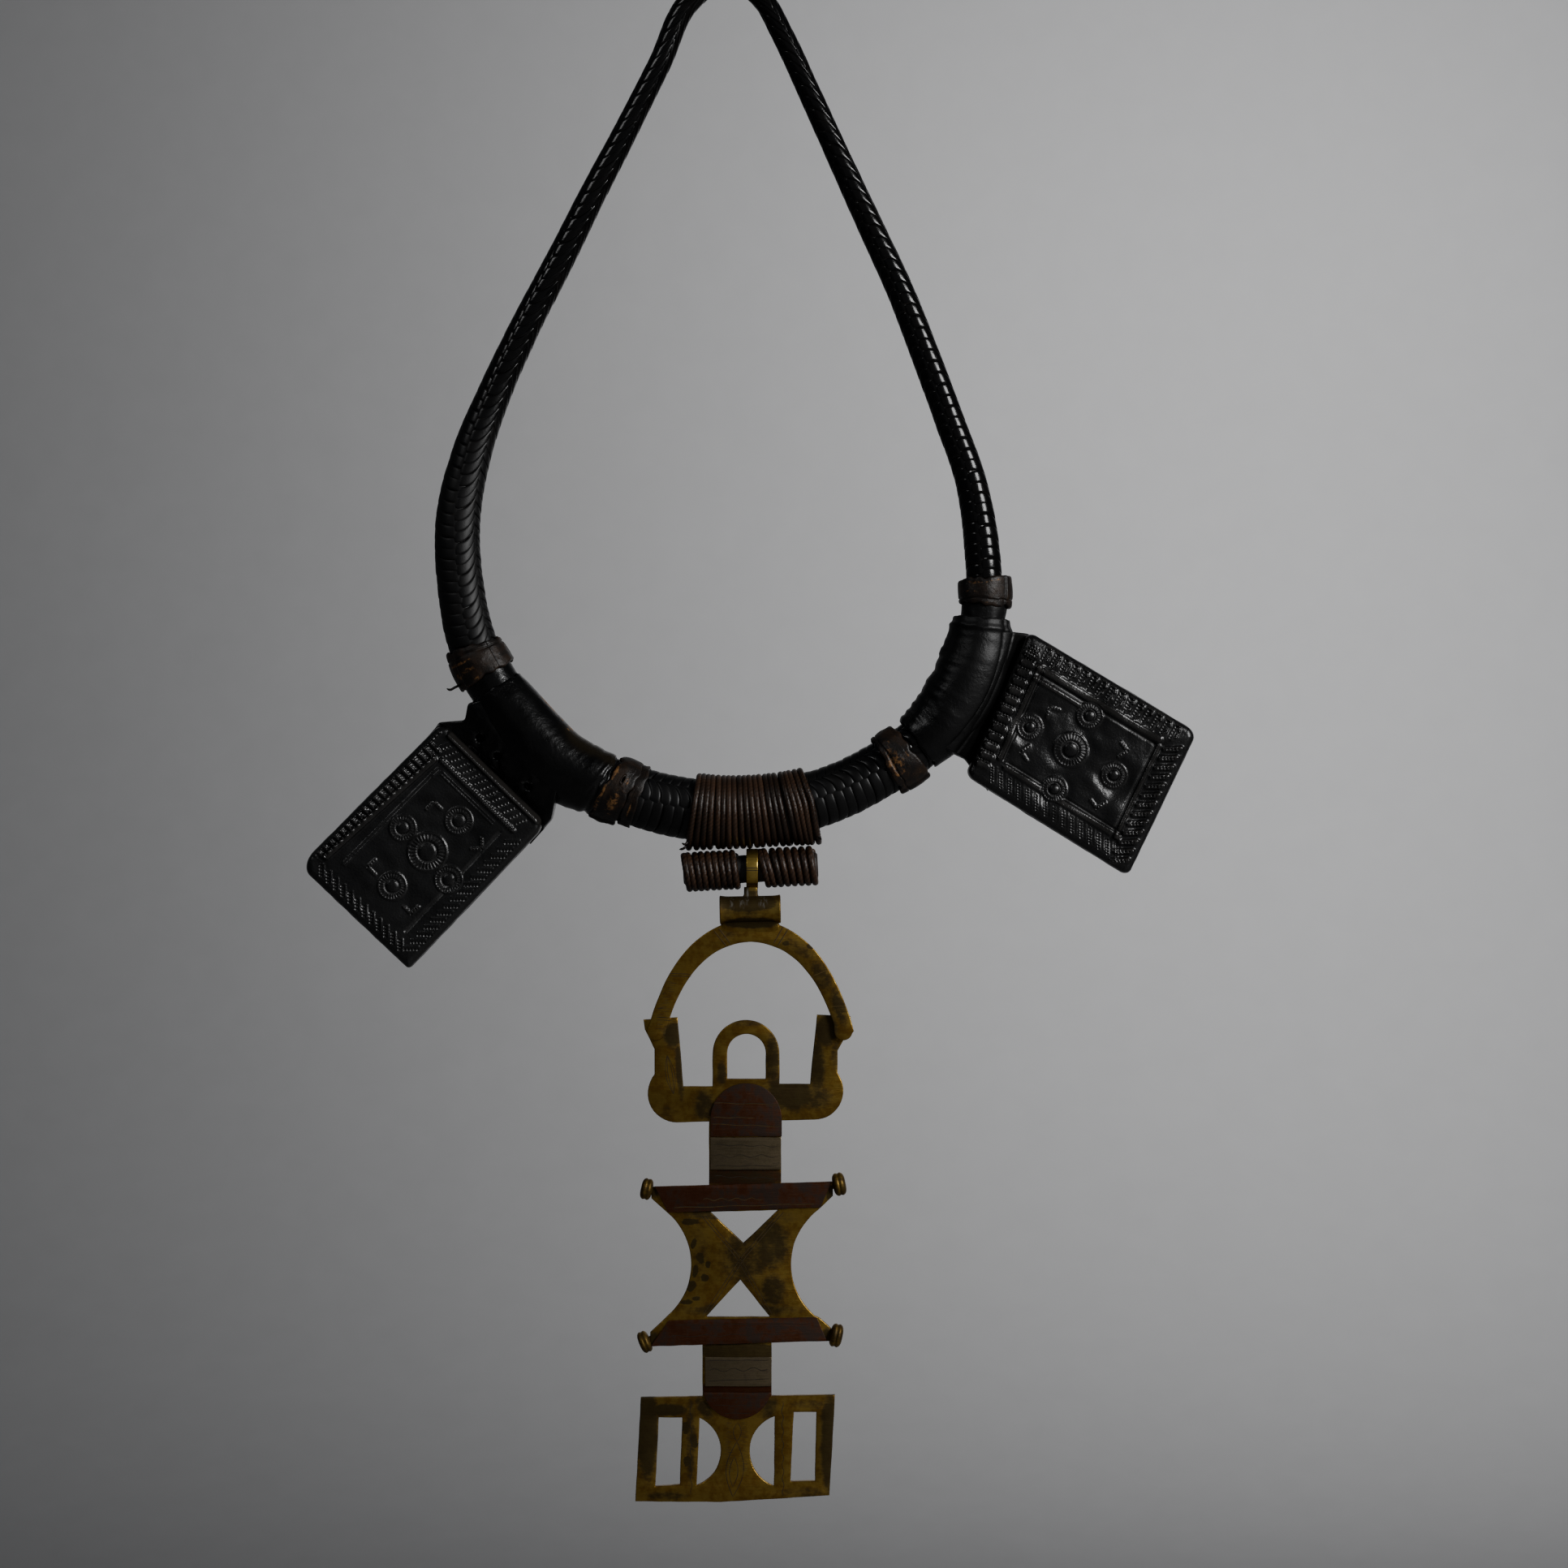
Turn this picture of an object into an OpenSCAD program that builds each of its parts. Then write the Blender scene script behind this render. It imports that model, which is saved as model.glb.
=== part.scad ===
// Amulet necklace: a closed collar of braided leather with two stamped leather pouches,
// a wound binding at the bottom, and a cut brass pendant that swings below it.
// Millimetres. Origin: inside the top bend of the collar, where it hangs.
// +X to the right, +Z up, and the front faces -Y.

/* [Collar] */
// Diameter of the braided collar at its thickest, at the bottom
collar_d = 18.8; // [16:0.1:19.2]
// Gap between the collar and the leather wrapped round it
wrap_gap = 0.25; // [0.2:0.05:0.5]

/* [Sleeves and bands] */
// Radius of a sleeve at its thickest
sleeve_r = 11; // [10.6:0.1:11.2]
// Thickness of the flap between a sleeve and its pouch
flap_t = 1.6; // [1:0.1:2]
// How far the flap reaches behind the pouch
flap_lap = 9; // [5:0.5:14]

/* [Pouches] */
// Thickness of a pouch without its raised ribs
pouch_t = 8.6; // [6:0.1:9]
// Height of the raised ribs and rosettes on the front
relief = 0.9; // [0.4:0.1:1.2]
// Diameter of the large rosette in the middle
rosette_big = 13; // [10:0.5:14]
// Diameter of the four small rosettes
rosette_small = 9; // [7:0.5:10]

/* [Binding] */
// Number of turns of waxed cord round the collar
wrap_turns = 21; // [15:1:24]
// Diameter of the waxed cord
waxed_cord_d = 1.75; // [1.4:0.05:1.8]
// Diameter of the bar that the pendant hangs from
core_d = 9.4; // [8:0.1:9.6]
// Length of the wound bar
roll_len = 41.5; // [38:0.5:44]
// Spacing of the turns on the bar
roll_pitch = 2.3; // [2:0.05:2.4]
// How far the bar's right end stands up
roll_tilt = 3; // [0:0.5:4]

/* [Pendant] */
// Thickness of the brass plate
plate_t = 2.4; // [1.6:0.1:2.8]
// Thickness of the arch above the plate
arch_t = 1.4; // [1:0.1:1.6]
// Thickness of the copper and pale metal overlays
overlay_t = 0.6; // [0.4:0.05:0.8]
// Width of the strap that loops round the bar
strap_w = 3.6; // [3:0.1:3.8]
// Thickness of the strap
strap_t = 1; // [0.8:0.1:1.1]
// Outer diameter of the rolled barrel
barrel_d = 8.5; // [7.5:0.1:9]

/* [Hidden] */

$fn = 48;

// The collar's route, down the left side and up the right.
// Columns: across, up, and thickness as a share of collar_d
THICK = 2;
collar = [
    [0, 3.4, 0.36],
    [-11.2, -4, 0.365],
    [-21, -24, 0.37],
    [-31.1, -44, 0.39],
    [-41.5, -64, 0.43],
    [-51.5, -84, 0.46],
    [-61.9, -104, 0.49],
    [-71.2, -124, 0.54],
    [-78.8, -144, 0.64],
    [-82.9, -164, 0.72],
    [-82.2, -184, 0.75],
    [-77.8, -204, 0.8],
    [-66, -223.5, 0.8],
    [-52, -239.2, 0.88],
    [-34.5, -247, 0.95],
    [-14, -252.8, 1],
    [7.2, -254, 1],
    [28, -250, 0.93],
    [46.5, -241.5, 0.89],
    [63, -229.3, 0.83],
    [74.2, -213, 0.78],
    [78.9, -193.5, 0.6],
    [78.5, -173, 0.58],
    [75, -152, 0.51],
    [68.7, -134, 0.485],
    [61.3, -114, 0.47],
    [53.5, -94, 0.445],
    [44.3, -74, 0.42],
    [35.1, -54, 0.385],
    [26, -34, 0.365],
    [16.7, -14, 0.355],
    [11.1, -4, 0.35]];
// Sides of the collar's cross section, and rings in each stretch between two rows
collar_sides = 14;
collar_steps = 3;

// Stretches of the collar that leather or cord is wrapped round, as first and last station.
// A station is a row of the table and a fraction of the way to the next
sleeve_left_at = [11.6, 13.78];
sleeve_right_at = [18.72, 20.95];
band_left_upper_at = [10.95, 11.4];
band_left_lower_at = [13.85, 14.22];
band_right_lower_at = [18.15, 18.57];
band_right_upper_at = [21.15, 21.55];
binding_at = [15.14, 16.9];
// Outer radii of the bands at their two ends
band_left_upper_r = [8.9, 9.7];
band_left_lower_r = [10.3, 10.3];
band_right_lower_r = [9.7, 9.7];
band_right_upper_r = [8, 8];
// Radii of the sleeves' upper and lower ends
sleeve_left_end_r = [8.8, 9.9];
sleeve_right_end_r = [9.2, 9.3];

// Corners of the pouches: upper corner at the collar, far upper, far lower, lower at the collar
pouch_left_corners = [[-87.5, -226.5], [-131.4, -270.6], [-97.8, -302.4], [-55.3, -257.6]];
pouch_right_corners = [[92.7, -198.6], [144.4, -229.6], [123.2, -273.8], [73.4, -242.8]];
// Centres of the rosettes: the large one, then the four small ones
rosettes_left = [[-92, -266.3], [-99.5, -259], [-82.3, -256.8], [-85.5, -274.8], [-102.8, -276.8]];
rosettes_right = [[105.5, -235], [93, -228], [111.3, -224.5], [118.8, -242.8], [100.5, -247]];
// Distances of the two border ribs from the pouch's edge, and their width
rib_outer = 1.8;
rib_inner = 8;
rib_w = 1.3;
pouch_corner_r = 3;
pouch_edge_r = 2.2;
pouch_back = 3.2;
flap_front = pouch_back + 0.3;

// Place of the bar's axis, which the pendant swings about
hinge_x = 7.2;
hinge_z = -271.6;
// Gap between the bar and the strap, the strap's outer radius, and the bare stretch of the bar
strap_gap = 0.5;
strap_r = core_d/2 + strap_gap + strap_t;
groove = [-3.4, 2.9];
// Outer radius of the turns on the bar, the dip between two turns, and their gap to the bar
winding_r = 6.2;
winding_dip = 0.7;
winding_gap = 0.2;
// Height of the dip between two turns round the collar, as a share of the cord
wrap_dip = 0.6;

// The pendant's outlines are measured from the hinge, across and up.
// Depths of the plate's front face, of the overlays and of the arch
plate_front = -1;
overlay_gap = 0.1;
overlay_front = plate_front - overlay_gap - overlay_t;
arch_front = plate_front - arch_t;
arch_middle = plate_front - arch_t/2;
// The rolled barrel's height, its two ends and its wall
barrel_up = -12.5;
barrel_from = -9.2;
barrel_to = 9;
barrel_wall = 1.1;
// Left edge of the strap
strap_from = -1.3;
// Diameter of the short stems that carry the knobs
stem_d = 2;
// Length of a bore cut right through
bore_cut = 40;

// The collar's route as a smooth curve through the rows, with slopes that allow for uneven spacing
function row(i) = collar[(i % len(collar) + len(collar)) % len(collar)];
function spot(v) = [v[0], v[1]];
function reach(i) = norm(spot(row(i + 1)) - spot(row(i)));
function slope(i) =
    let (before = reach(i - 1), after = reach(i))
    ((row(i) - row(i - 1))*after/before + (row(i + 1) - row(i))*before/after)/(before + after);
function along(s) =
    let (i = floor(s), f = s - i, d = reach(i))
    row(i)*(2*f^3 - 3*f^2 + 1) + row(i + 1)*(3*f^2 - 2*f^3)
    + (slope(i)*(f^3 - 2*f^2 + f) + slope(i + 1)*(f^3 - f^2))*d;
function middle(s) = spot(along(s));
function radius(s) = along(s)[THICK]*collar_d/2;
// Direction away from the wearer's neck, square to the route
function outward(s) =
    let (d = middle(s + 0.02) - middle(s - 0.02))
    [d[1], -d[0]]/norm(d);
function beside(s, d) = middle(s) + outward(s)*d;

// One ring of points square to the route
function ring(s, r) =
    [for (k = [0 : collar_sides - 1])
        let (a = 360*k/collar_sides, p = beside(s, r*cos(a)))
        [p[0], r*sin(a), p[1]]];

// Rings joined one after another into a band, the last ring joined to the first
module sweep(rings) {
    n = len(rings);
    k = len(rings[0]);
    polyhedron(
        points = [for (r = rings) each r],
        faces = [for (i = [0 : n - 1], j = [0 : k - 1], lower = [true, false])
            let (here = i*k, next = ((i + 1) % n)*k, j2 = (j + 1) % k)
            lower ? [here + j, next + j2, here + j2] : [here + j, next + j, next + j2]]);
}

// A tube round the collar whose outer radius goes from one end through a middle value to the other
module wrapped(stretch, end_r, middle_r, steps) {
    bow = 2*middle_r - (end_r[0] + end_r[1])/2;
    at = [for (i = [0 : steps]) stretch[0] + (stretch[1] - stretch[0])*i/steps];
    outer = [for (i = [0 : steps])
        let (f = i/steps)
        ring(at[i], end_r[0]*(1 - f)^2 + bow*2*f*(1 - f) + end_r[1]*f^2)];
    inner = [for (i = [steps : -1 : 0]) ring(at[i], radius(at[i]) + wrap_gap)];
    sweep(concat(outer, inner));
}

// A flat shape drawn from the front, given depth between two places along Y
module facing(front, back) {
    translate([0, back, 0]) rotate([90, 0, 0]) linear_extrude(back - front) children();
}

// The point a given distance from one corner towards another
function towards(a, b, d) = a + (b - a)*d/norm(b - a);

// The flap from a sleeve's outer side to behind its pouch
module flap(stretch, corners, upper, lower) {
    root = [for (i = [0 : 6])
        let (s = stretch[0] + (stretch[1] - stretch[0])*i/6)
        beside(s, radius(s))];
    facing(flap_front, flap_front + flap_t)
        polygon(concat(root, lower,
            [towards(corners[3], corners[2], flap_lap), towards(corners[0], corners[1], flap_lap)],
            upper));
}

module sleeve_left() {
    color("#1b1817") {
        wrapped(sleeve_left_at, sleeve_left_end_r, sleeve_r, 8);
        flap([11.62, 13.2], pouch_left_corners,
            [[-88.5, -226.8], [-80.4, -226.2], [-79.4, -221]], [[-53.2, -251.6], [-54.2, -256]]);
    }
}

module sleeve_right() {
    color("#1b1817") {
        wrapped(sleeve_right_at, sleeve_right_end_r, sleeve_r, 8);
        flap([20.8, 18.95], pouch_right_corners,
            [[92.3, -199.5]], [[73.5, -237.5]]);
    }
}

module pouch_outline(corners, inset) {
    offset(delta = -inset) offset(r = pouch_corner_r) offset(delta = -pouch_corner_r)
        polygon(corners);
}

// A raised frame that follows the pouch's edge
module rib(corners, inset) {
    facing(pouch_back - pouch_t - relief, pouch_back - pouch_t + relief)
        difference() {
            pouch_outline(corners, inset);
            pouch_outline(corners, inset + rib_w);
        }
}

// A stamped rosette: a round rim and a low boss in its middle
module rosette(at, d) {
    translate([at[0], pouch_back - pouch_t, at[1]]) rotate([90, 0, 0]) {
        rotate_extrude() translate([d/2 - relief, 0]) circle(relief*0.8);
        cylinder(r = d*0.2, h = relief*0.6);
        translate([0, 0, -relief]) cylinder(r = d*0.15, h = relief*2);
    }
}

module pouch(corners, rosettes) {
    back = pouch_back;
    front = pouch_back - pouch_t;
    color("#16120f") {
        hull() {
            facing(front + pouch_edge_r, back - pouch_edge_r) pouch_outline(corners, 0);
            facing(front, back) pouch_outline(corners, pouch_edge_r);
            facing(front + pouch_edge_r/4, back - pouch_edge_r/4)
                pouch_outline(corners, pouch_edge_r/3);
        }
        rib(corners, rib_outer);
        rib(corners, rib_inner);
        for (i = [0 : len(rosettes) - 1]) rosette(rosettes[i], i == 0 ? rosette_big : rosette_small);
    }
}

module pouch_left() { pouch(pouch_left_corners, rosettes_left); }
module pouch_right() { pouch(pouch_right_corners, rosettes_right); }

module collar_rope() {
    rings = len(collar)*collar_steps;
    color("#14110f")
        sweep([for (i = [0 : rings - 1]) let (s = i/collar_steps) ring(s, radius(s))]);
}

module band(stretch, end_r) { color("#4a3018") wrapped(stretch, end_r, (end_r[0] + end_r[1])/2, 3); }
module band_left_upper() { band(band_left_upper_at, band_left_upper_r); }
module band_left_lower() { band(band_left_lower_at, band_left_lower_r); }
module band_right_lower() { band(band_right_lower_at, band_right_lower_r); }
module band_right_upper() { band(band_right_upper_at, band_right_upper_r); }

// The turns of cord round the collar: a tube with one low ridge for each turn
module binding_wrap() {
    from = binding_at[0];
    step = (binding_at[1] - from)/(2*wrap_turns);
    outer = [for (i = [0 : 2*wrap_turns])
        let (s = from + step*i)
        ring(s, radius(s) + waxed_cord_d*(i % 2 == 1 ? 1 : wrap_dip))];
    inner = [for (i = [8 : -1 : 0])
        let (s = from + (binding_at[1] - from)*i/8)
        ring(s, radius(s) + winding_gap)];
    color("#3d291c") sweep(concat(outer, inner));
}

module at_hinge() { translate([hinge_x, 0, hinge_z]) children(); }
// Turns what is made round Z so that it lies along X
module lying() { rotate([0, 90, 0]) children(); }
module tilted() { at_hinge() rotate([0, -roll_tilt, 0]) lying() children(); }

// Turns of cord side by side round the bar, from one place along it to another
module winding(from, to) {
    turns = round((to - from)/roll_pitch);
    pitch = (to - from)/turns;
    color("#3d291c") tilted() rotate_extrude() difference() {
        union() {
            translate([0, from]) square([winding_r - winding_dip, to - from]);
            for (i = [0 : turns - 1])
                translate([winding_r - pitch*0.5, from + pitch*(i + 0.5)]) circle(pitch*0.47);
        }
        translate([-winding_r, from - pitch])
            square([winding_r + core_d/2 + winding_gap, to - from + 2*pitch]);
    }
}

module roll_left() { winding(-roll_len/2, groove[0]); }
module roll_right() { winding(groove[1], roll_len/2); }
module roll_core() {
    color("#2b1c14") tilted() translate([0, 0, -roll_len/2]) cylinder(d = core_d, h = roll_len);
}

// A point on the curve that leaves a towards b and arrives at c
function bend(a, b, c, t) = a*(1 - t)^2 + b*2*t*(1 - t) + c*t^2;
function mirrored(p) = [for (i = [len(p) - 1 : -1 : 0]) [-p[i][0], p[i][1]]];

// The arch over the plate, with round feet that lap on the horns
module arch_outline() {
    steps = 8;
    outer = [for (i = [0 : steps]) bend([9.2, -17.4], [25, -24], [31.8, -50], i/steps)];
    inner = [for (i = [steps : -1 : 0]) bend([0.4, -22.5], [18.5, -23.5], [26.2, -50], i/steps)];
    side = concat(outer, inner);
    polygon(concat(side, mirrored(side)));
    for (x = [-29, 28.5]) translate([x, -49.9]) circle(2.85);
}

// The upper half of the plate: two horns and a small loop on a rounded base
module horned_base() {
    difference() {
        union() {
            translate([-22.7, -69.1]) circle(9);
            translate([19.6, -68.3]) circle(9);
            polygon([[-22.7, -78.1], [19.6, -77.3], [19.6, -60], [-22.7, -60]]);
            polygon([[-33, -46.5], [-22.5, -45.8], [-21.6, -66],
                [-29.6, -66], [-29.6, -55.5], [-32.6, -49.5]]);
            polygon([[20.5, -45], [30.8, -45.5], [31, -48.5],
                [26.8, -56], [26.8, -66], [18.8, -66]]);
            translate([-1.4, -56.9]) circle(10.3);
            translate([-11.7, -66]) square([20.6, 9.1]);
        }
        polygon([[-21.9, -50], [-20.8, -67], [-11.7, -67], [-11.7, -50]]);
        polygon([[19.2, -50], [18.3, -66.3], [8.9, -66.3], [8.9, -50]]);
        translate([-1.3, -56.8]) circle(6);
        translate([-7.2, -64.7]) square([11.8, 7.9]);
    }
    translate([-12.8, -98]) square([22.2, 21]);
}

// The plate under the two bars, whose ends reach out to the knobs
module bar_ends() {
    polygon([[-30.5, -98], [25.4, -96.4], [25.4, -100.7],
        [21.3, -105], [-25.3, -106.2], [-30.5, -101.5]]);
    polygon([[-25.4, -138], [20.8, -137.8], [24.8, -141.6],
        [24.8, -145.4], [-30.9, -147], [-30.9, -142.8]]);
}

// The waisted middle of the plate, with a three-cornered hole above and below the crossing
module waist() {
    difference() {
        translate([-25.5, -140]) square([46.5, 36.5]);
        translate([-39.3, -121.8]) circle(21);
        translate([33.5, -121.8]) circle(21);
        polygon([[-12.4, -105.7], [8.5, -105.1], [-2.2, -115.3]]);
        polygon([[-3.2, -126.5], [-13.7, -138], [6, -138]]);
    }
}

// The foot of the plate, with two upright slots and two half-moons
module plate_foot() {
    difference() {
        polygon([[-33.8, -162.8], [26, -162], [24.3, -193], [-9, -195], [-35.5, -194.8]]);
        polygon([[-28.3, -169], [-21, -169], [-21.8, -189.6], [-29.3, -190.2]]);
        polygon([[13.3, -167.3], [20.3, -167.3], [19.8, -188.5], [12.3, -188.7]]);
        intersection() {
            translate([-20.5, -179.3]) circle(11.3);
            polygon([[-15.5, -165], [-5, -165], [-5, -193], [-16.8, -193]]);
        }
        intersection() {
            translate([11, -179.3]) circle(11.3);
            polygon([[7.5, -165], [-5, -165], [-5, -193], [7, -193]]);
        }
    }
}

module plate_outline() {
    horned_base();
    bar_ends();
    waist();
    translate([-14.8, -164]) square([21.3, 19]);
    plate_foot();
}

// A round-edged disc on the end of a bar, its axis along X, on a short stem
module knob(x, z, d, thick, stem) {
    middle_y = plate_front + plate_t/2;
    translate([x, middle_y, z]) lying() {
        rotate_extrude()
            polygon([[0, -thick/2], [d*0.32, -thick/2], [d/2, -thick/5], [d/2, thick/5],
                [d*0.32, thick/2], [0, thick/2]]);
        translate([0, 0, min(0, stem)]) cylinder(d = stem_d, h = abs(stem));
    }
}

module pendant_frame() {
    color("#a5812f") at_hinge() {
        facing(plate_front, plate_front + plate_t) plate_outline();
        facing(arch_front, plate_front) arch_outline();
        difference() {
            union() {
                translate([barrel_from, arch_middle, barrel_up]) lying()
                    cylinder(d = barrel_d, h = barrel_to - barrel_from);
                facing(arch_front, plate_front) polygon([[-9, -13], [9, -13], [9, -19], [-9, -19]]);
                facing(arch_front, plate_front + 0.6)
                    polygon([[-2.3, -5.6], [2.3, -5.6], [2.3, -7.6],
                        [4.4, -9.2], [-4.6, -9.2], [-2.3, -7.6]]);
                translate([strap_from, 0, 0]) lying() cylinder(r = strap_r, h = strap_w);
            }
            translate([-bore_cut/2, arch_middle, barrel_up]) lying()
                cylinder(d = barrel_d - 2*barrel_wall, h = bore_cut);
            translate([-bore_cut/2, 0, 0]) lying() cylinder(r = strap_r - strap_t, h = bore_cut);
        }
        knob(-32, -98.8, 6.8, 3.6, 4);
        knob(27.2, -97.3, 7.3, 4, -4);
        knob(-32.6, -145.8, 6.7, 3.3, 4);
        knob(26.3, -144, 7.5, 3.9, -4);
    }
}

module overlay(metal) {
    color(metal) at_hinge() facing(overlay_front, overlay_front + overlay_t) children();
}

module copper_cap_upper() {
    overlay("#9c5a3c") {
        intersection() {
            translate([-1.4, -76.9]) circle(11);
            translate([-20, -77]) square([40, 20]);
        }
        translate([-12.4, -82.4]) square([22, 5.5]);
    }
}
module silver_band_upper() { overlay("#b9b3a6") translate([-12.4, -92.6]) square([21.8, 10]); }
module copper_bar_upper() {
    overlay("#9c5a3c") polygon([[-29.5, -97.8], [25, -96.3], [21.5, -104.3], [-25.5, -105.8]]);
}
module copper_bar_lower() {
    overlay("#9c5a3c") polygon([[-25.3, -139], [20.3, -138], [23.5, -145.3], [-30.8, -147]]);
}
module silver_band_lower() { overlay("#b9b3a6") translate([-14, -159.3]) square([20.5, 9]); }
module copper_cap_lower() {
    overlay("#9c5a3c") intersection() {
        translate([-4.1, -158.8]) circle(10.7);
        translate([-20, -175]) square([32, 13.8]);
    }
}

collar_rope();
sleeve_left();
sleeve_right();
pouch_left();
pouch_right();
band_left_upper();
band_left_lower();
band_right_lower();
band_right_upper();
binding_wrap();
roll_left();
roll_right();
roll_core();
pendant_frame();
copper_cap_upper();
silver_band_upper();
copper_bar_upper();
copper_bar_lower();
silver_band_lower();
copper_cap_lower();
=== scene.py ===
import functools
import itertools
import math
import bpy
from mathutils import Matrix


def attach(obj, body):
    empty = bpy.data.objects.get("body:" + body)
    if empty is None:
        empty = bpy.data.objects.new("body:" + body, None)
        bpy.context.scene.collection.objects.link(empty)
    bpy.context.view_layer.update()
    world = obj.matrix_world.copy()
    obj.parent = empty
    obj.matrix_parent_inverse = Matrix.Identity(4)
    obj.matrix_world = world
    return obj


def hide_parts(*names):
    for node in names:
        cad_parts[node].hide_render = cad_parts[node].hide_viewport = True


bl_info = {
    "name": "Gris-gris Necklace",
    "version": (1, 0, 0),
    "blender": (4, 5, 0),
    "location": "View3D > Sidebar > Necklace",
    "description": "Builds a braided leather collar with amulet pouches and a cut brass pendant",
    "category": "Object",
}

import bmesh
import bpy
import numpy as np
from bpy.props import FloatProperty, FloatVectorProperty, IntProperty, PointerProperty
from bpy.types import Operator, Panel, PropertyGroup
from mathutils import Matrix, Vector

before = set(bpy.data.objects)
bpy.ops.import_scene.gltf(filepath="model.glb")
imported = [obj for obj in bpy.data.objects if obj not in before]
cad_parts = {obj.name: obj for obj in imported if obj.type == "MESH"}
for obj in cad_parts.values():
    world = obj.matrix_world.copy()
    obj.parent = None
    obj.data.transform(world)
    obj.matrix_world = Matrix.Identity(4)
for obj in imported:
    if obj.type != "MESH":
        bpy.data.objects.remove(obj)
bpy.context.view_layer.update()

MM = 0.001

# ---------------------------------------------------------------------------
# The collar's route: across, up and radius, in metres, down the left side and up the right
# ---------------------------------------------------------------------------

ROUTE = MM * np.array([
    [0, 3.4, 3.38], [-11.2, -4, 3.43], [-21, -24, 3.48], [-31.1, -44, 3.67],
    [-41.5, -64, 4.04], [-51.5, -84, 4.32], [-61.9, -104, 4.61], [-71.2, -124, 5.08],
    [-78.8, -144, 6.02], [-82.9, -164, 6.77], [-82.2, -184, 7.05], [-77.8, -204, 7.52],
    [-66, -223.5, 7.52], [-52, -239.2, 8.27], [-34.5, -247, 8.93], [-14, -252.8, 9.4],
    [7.2, -254, 9.4], [28, -250, 8.74], [46.5, -241.5, 8.37], [63, -229.3, 7.8],
    [74.2, -213, 7.33], [78.9, -193.5, 5.64], [78.5, -173, 5.45], [75, -152, 4.79],
    [68.7, -134, 4.56], [61.3, -114, 4.42], [53.5, -94, 4.18], [44.3, -74, 3.95],
    [35.1, -54, 3.62], [26, -34, 3.43], [16.7, -14, 3.34], [11.1, -4, 3.29]])
ROWS = len(ROUTE)

# Stretches of the route that leather or cord is wrapped round, as first and last station
SLEEVE_LEFT = (11.6, 13.86)
SLEEVE_RIGHT = (18.72, 20.95)
BANDS = {
    "band_left_upper": (10.95, 11.4, 8.9, 9.7),
    "band_left_lower": (13.85, 14.22, 10.3, 10.3),
    "band_right_lower": (18.15, 18.57, 9.7, 9.7),
    "band_right_upper": (21.15, 21.55, 8.0, 8.0),
}
BINDING = (15.14, 16.9)
HINGE = (7.2, -271.6)

# The pendant's marks are placed by points of a picture taken square to it, so many to a
# millimetre, with the hinge at this one
POINTS, HINGE_POINT = 4, (924.8, 1070.4)

# Where the four seams of the braid lie, in degrees from the front towards the outer side,
# then the length of a strip's step along the collar in millimetres and its slant in steps
SEAMS = np.array([
    [0, 75, -21, -111, 155, 4.3, 1.7],
    [5, 36, -42, -140, 126, 4.2, 1.7],
    [8, 12, -42, -160, 105, 3.6, 1.5],
    [9.5, 0, -57, -170, 100, 3.4, 1.45],
    [14.5, 0, -45, -180, 110, 3.15, 1.0],
    [17.5, 0, -45, -180, 110, 3.0, 1.0],
    [22, -7, -100, -180, 88, 3.3, 0.6],
    [25, -9, -95, -190, 84, 3.7, 0.9],
    [27.5, -25, -110, -205, 68, 3.9, 1.3],
    [30, -60, -150, -230, 27, 4.1, 1.7],
    [32, -111, -205, -285, -21, 4.3, 1.7]])

# The strips' shape at stations of the route, in millimetres: how round they are across and
# along, and how far the edge on the far side of the route stands up
RELIEF = np.array([
    [0, 0.1, 0.06, 0.0], [3, 0.04, 0.02, 0.03], [8.5, 0.03, 0.02, 0.06], [11, 0.05, 0.03, 0.1],
    [14.5, 0.1, 0.06, 0.08], [17.5, 0.1, 0.06, -0.08], [21.4, 0.05, 0.05, -0.03],
    [23.5, 0.07, 0.08, -0.02], [29, 0.1, 0.1, -0.02], [32, 0.1, 0.06, 0.0]])


def row(i):
    return ROUTE[np.asarray(i) % ROWS] / MM


def reach(step):
    """Length of a step across and up."""
    return np.linalg.norm(step[..., :2], axis=-1, keepdims=True)


def slope(i):
    back, ahead = row(i) - row(i - 1), row(i + 1) - row(i)
    before, after = reach(back), reach(ahead)
    return (back * after / before + ahead * before / after) / (before + after)


def along(s):
    """Place and radius at stations s, in millimetres: across, up, radius."""
    s = np.asarray(s, float)
    i = np.floor(s).astype(int)
    f = (s - i)[..., None]
    return (row(i) * (2 * f**3 - 3 * f**2 + 1) + row(i + 1) * (3 * f**2 - 2 * f**3)
            + (slope(i) * (f**3 - 2 * f**2 + f) + slope(i + 1) * (f**3 - f**2))
            * reach(row(i + 1) - row(i)))


def radius(s):
    return along(s)[..., 2]


def unit(vectors):
    """The same directions at length 1."""
    return vectors / np.linalg.norm(vectors, axis=-1, keepdims=True)


def left_of(directions):
    """The directions a quarter turn to the left of others in the plane."""
    return np.stack([-directions[..., 1], directions[..., 0]], -1)


def outward(s):
    """Direction away from the neck, square to the route."""
    s = np.asarray(s)
    return -left_of(unit((along(s + 0.02) - along(s - 0.02))[..., :2]))


FINE = np.linspace(0, ROWS, ROWS * 60 + 1)
STEP = np.linalg.norm(np.diff(along(FINE)[:, :2], axis=0), axis=1)
LENGTH = np.concatenate([[0], np.cumsum(STEP)])


def length_at(s):
    return np.interp(s, FINE, LENGTH)


def station_of(length):
    return np.interp(length, LENGTH, FINE)


def joined(*axes):
    """Points from one value or one array for each axis."""
    return np.stack(np.broadcast_arrays(*axes), -1)


def place(s, t, r):
    """Points at stations s and at t degrees from the front towards the outer side, r out."""
    centre, out = along(s), outward(s)
    far = r * np.sin(np.radians(t))
    return joined(centre[..., 0] + out[..., 0] * far, -r * np.cos(np.radians(t)),
                  centre[..., 1] + out[..., 1] * far)


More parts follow.
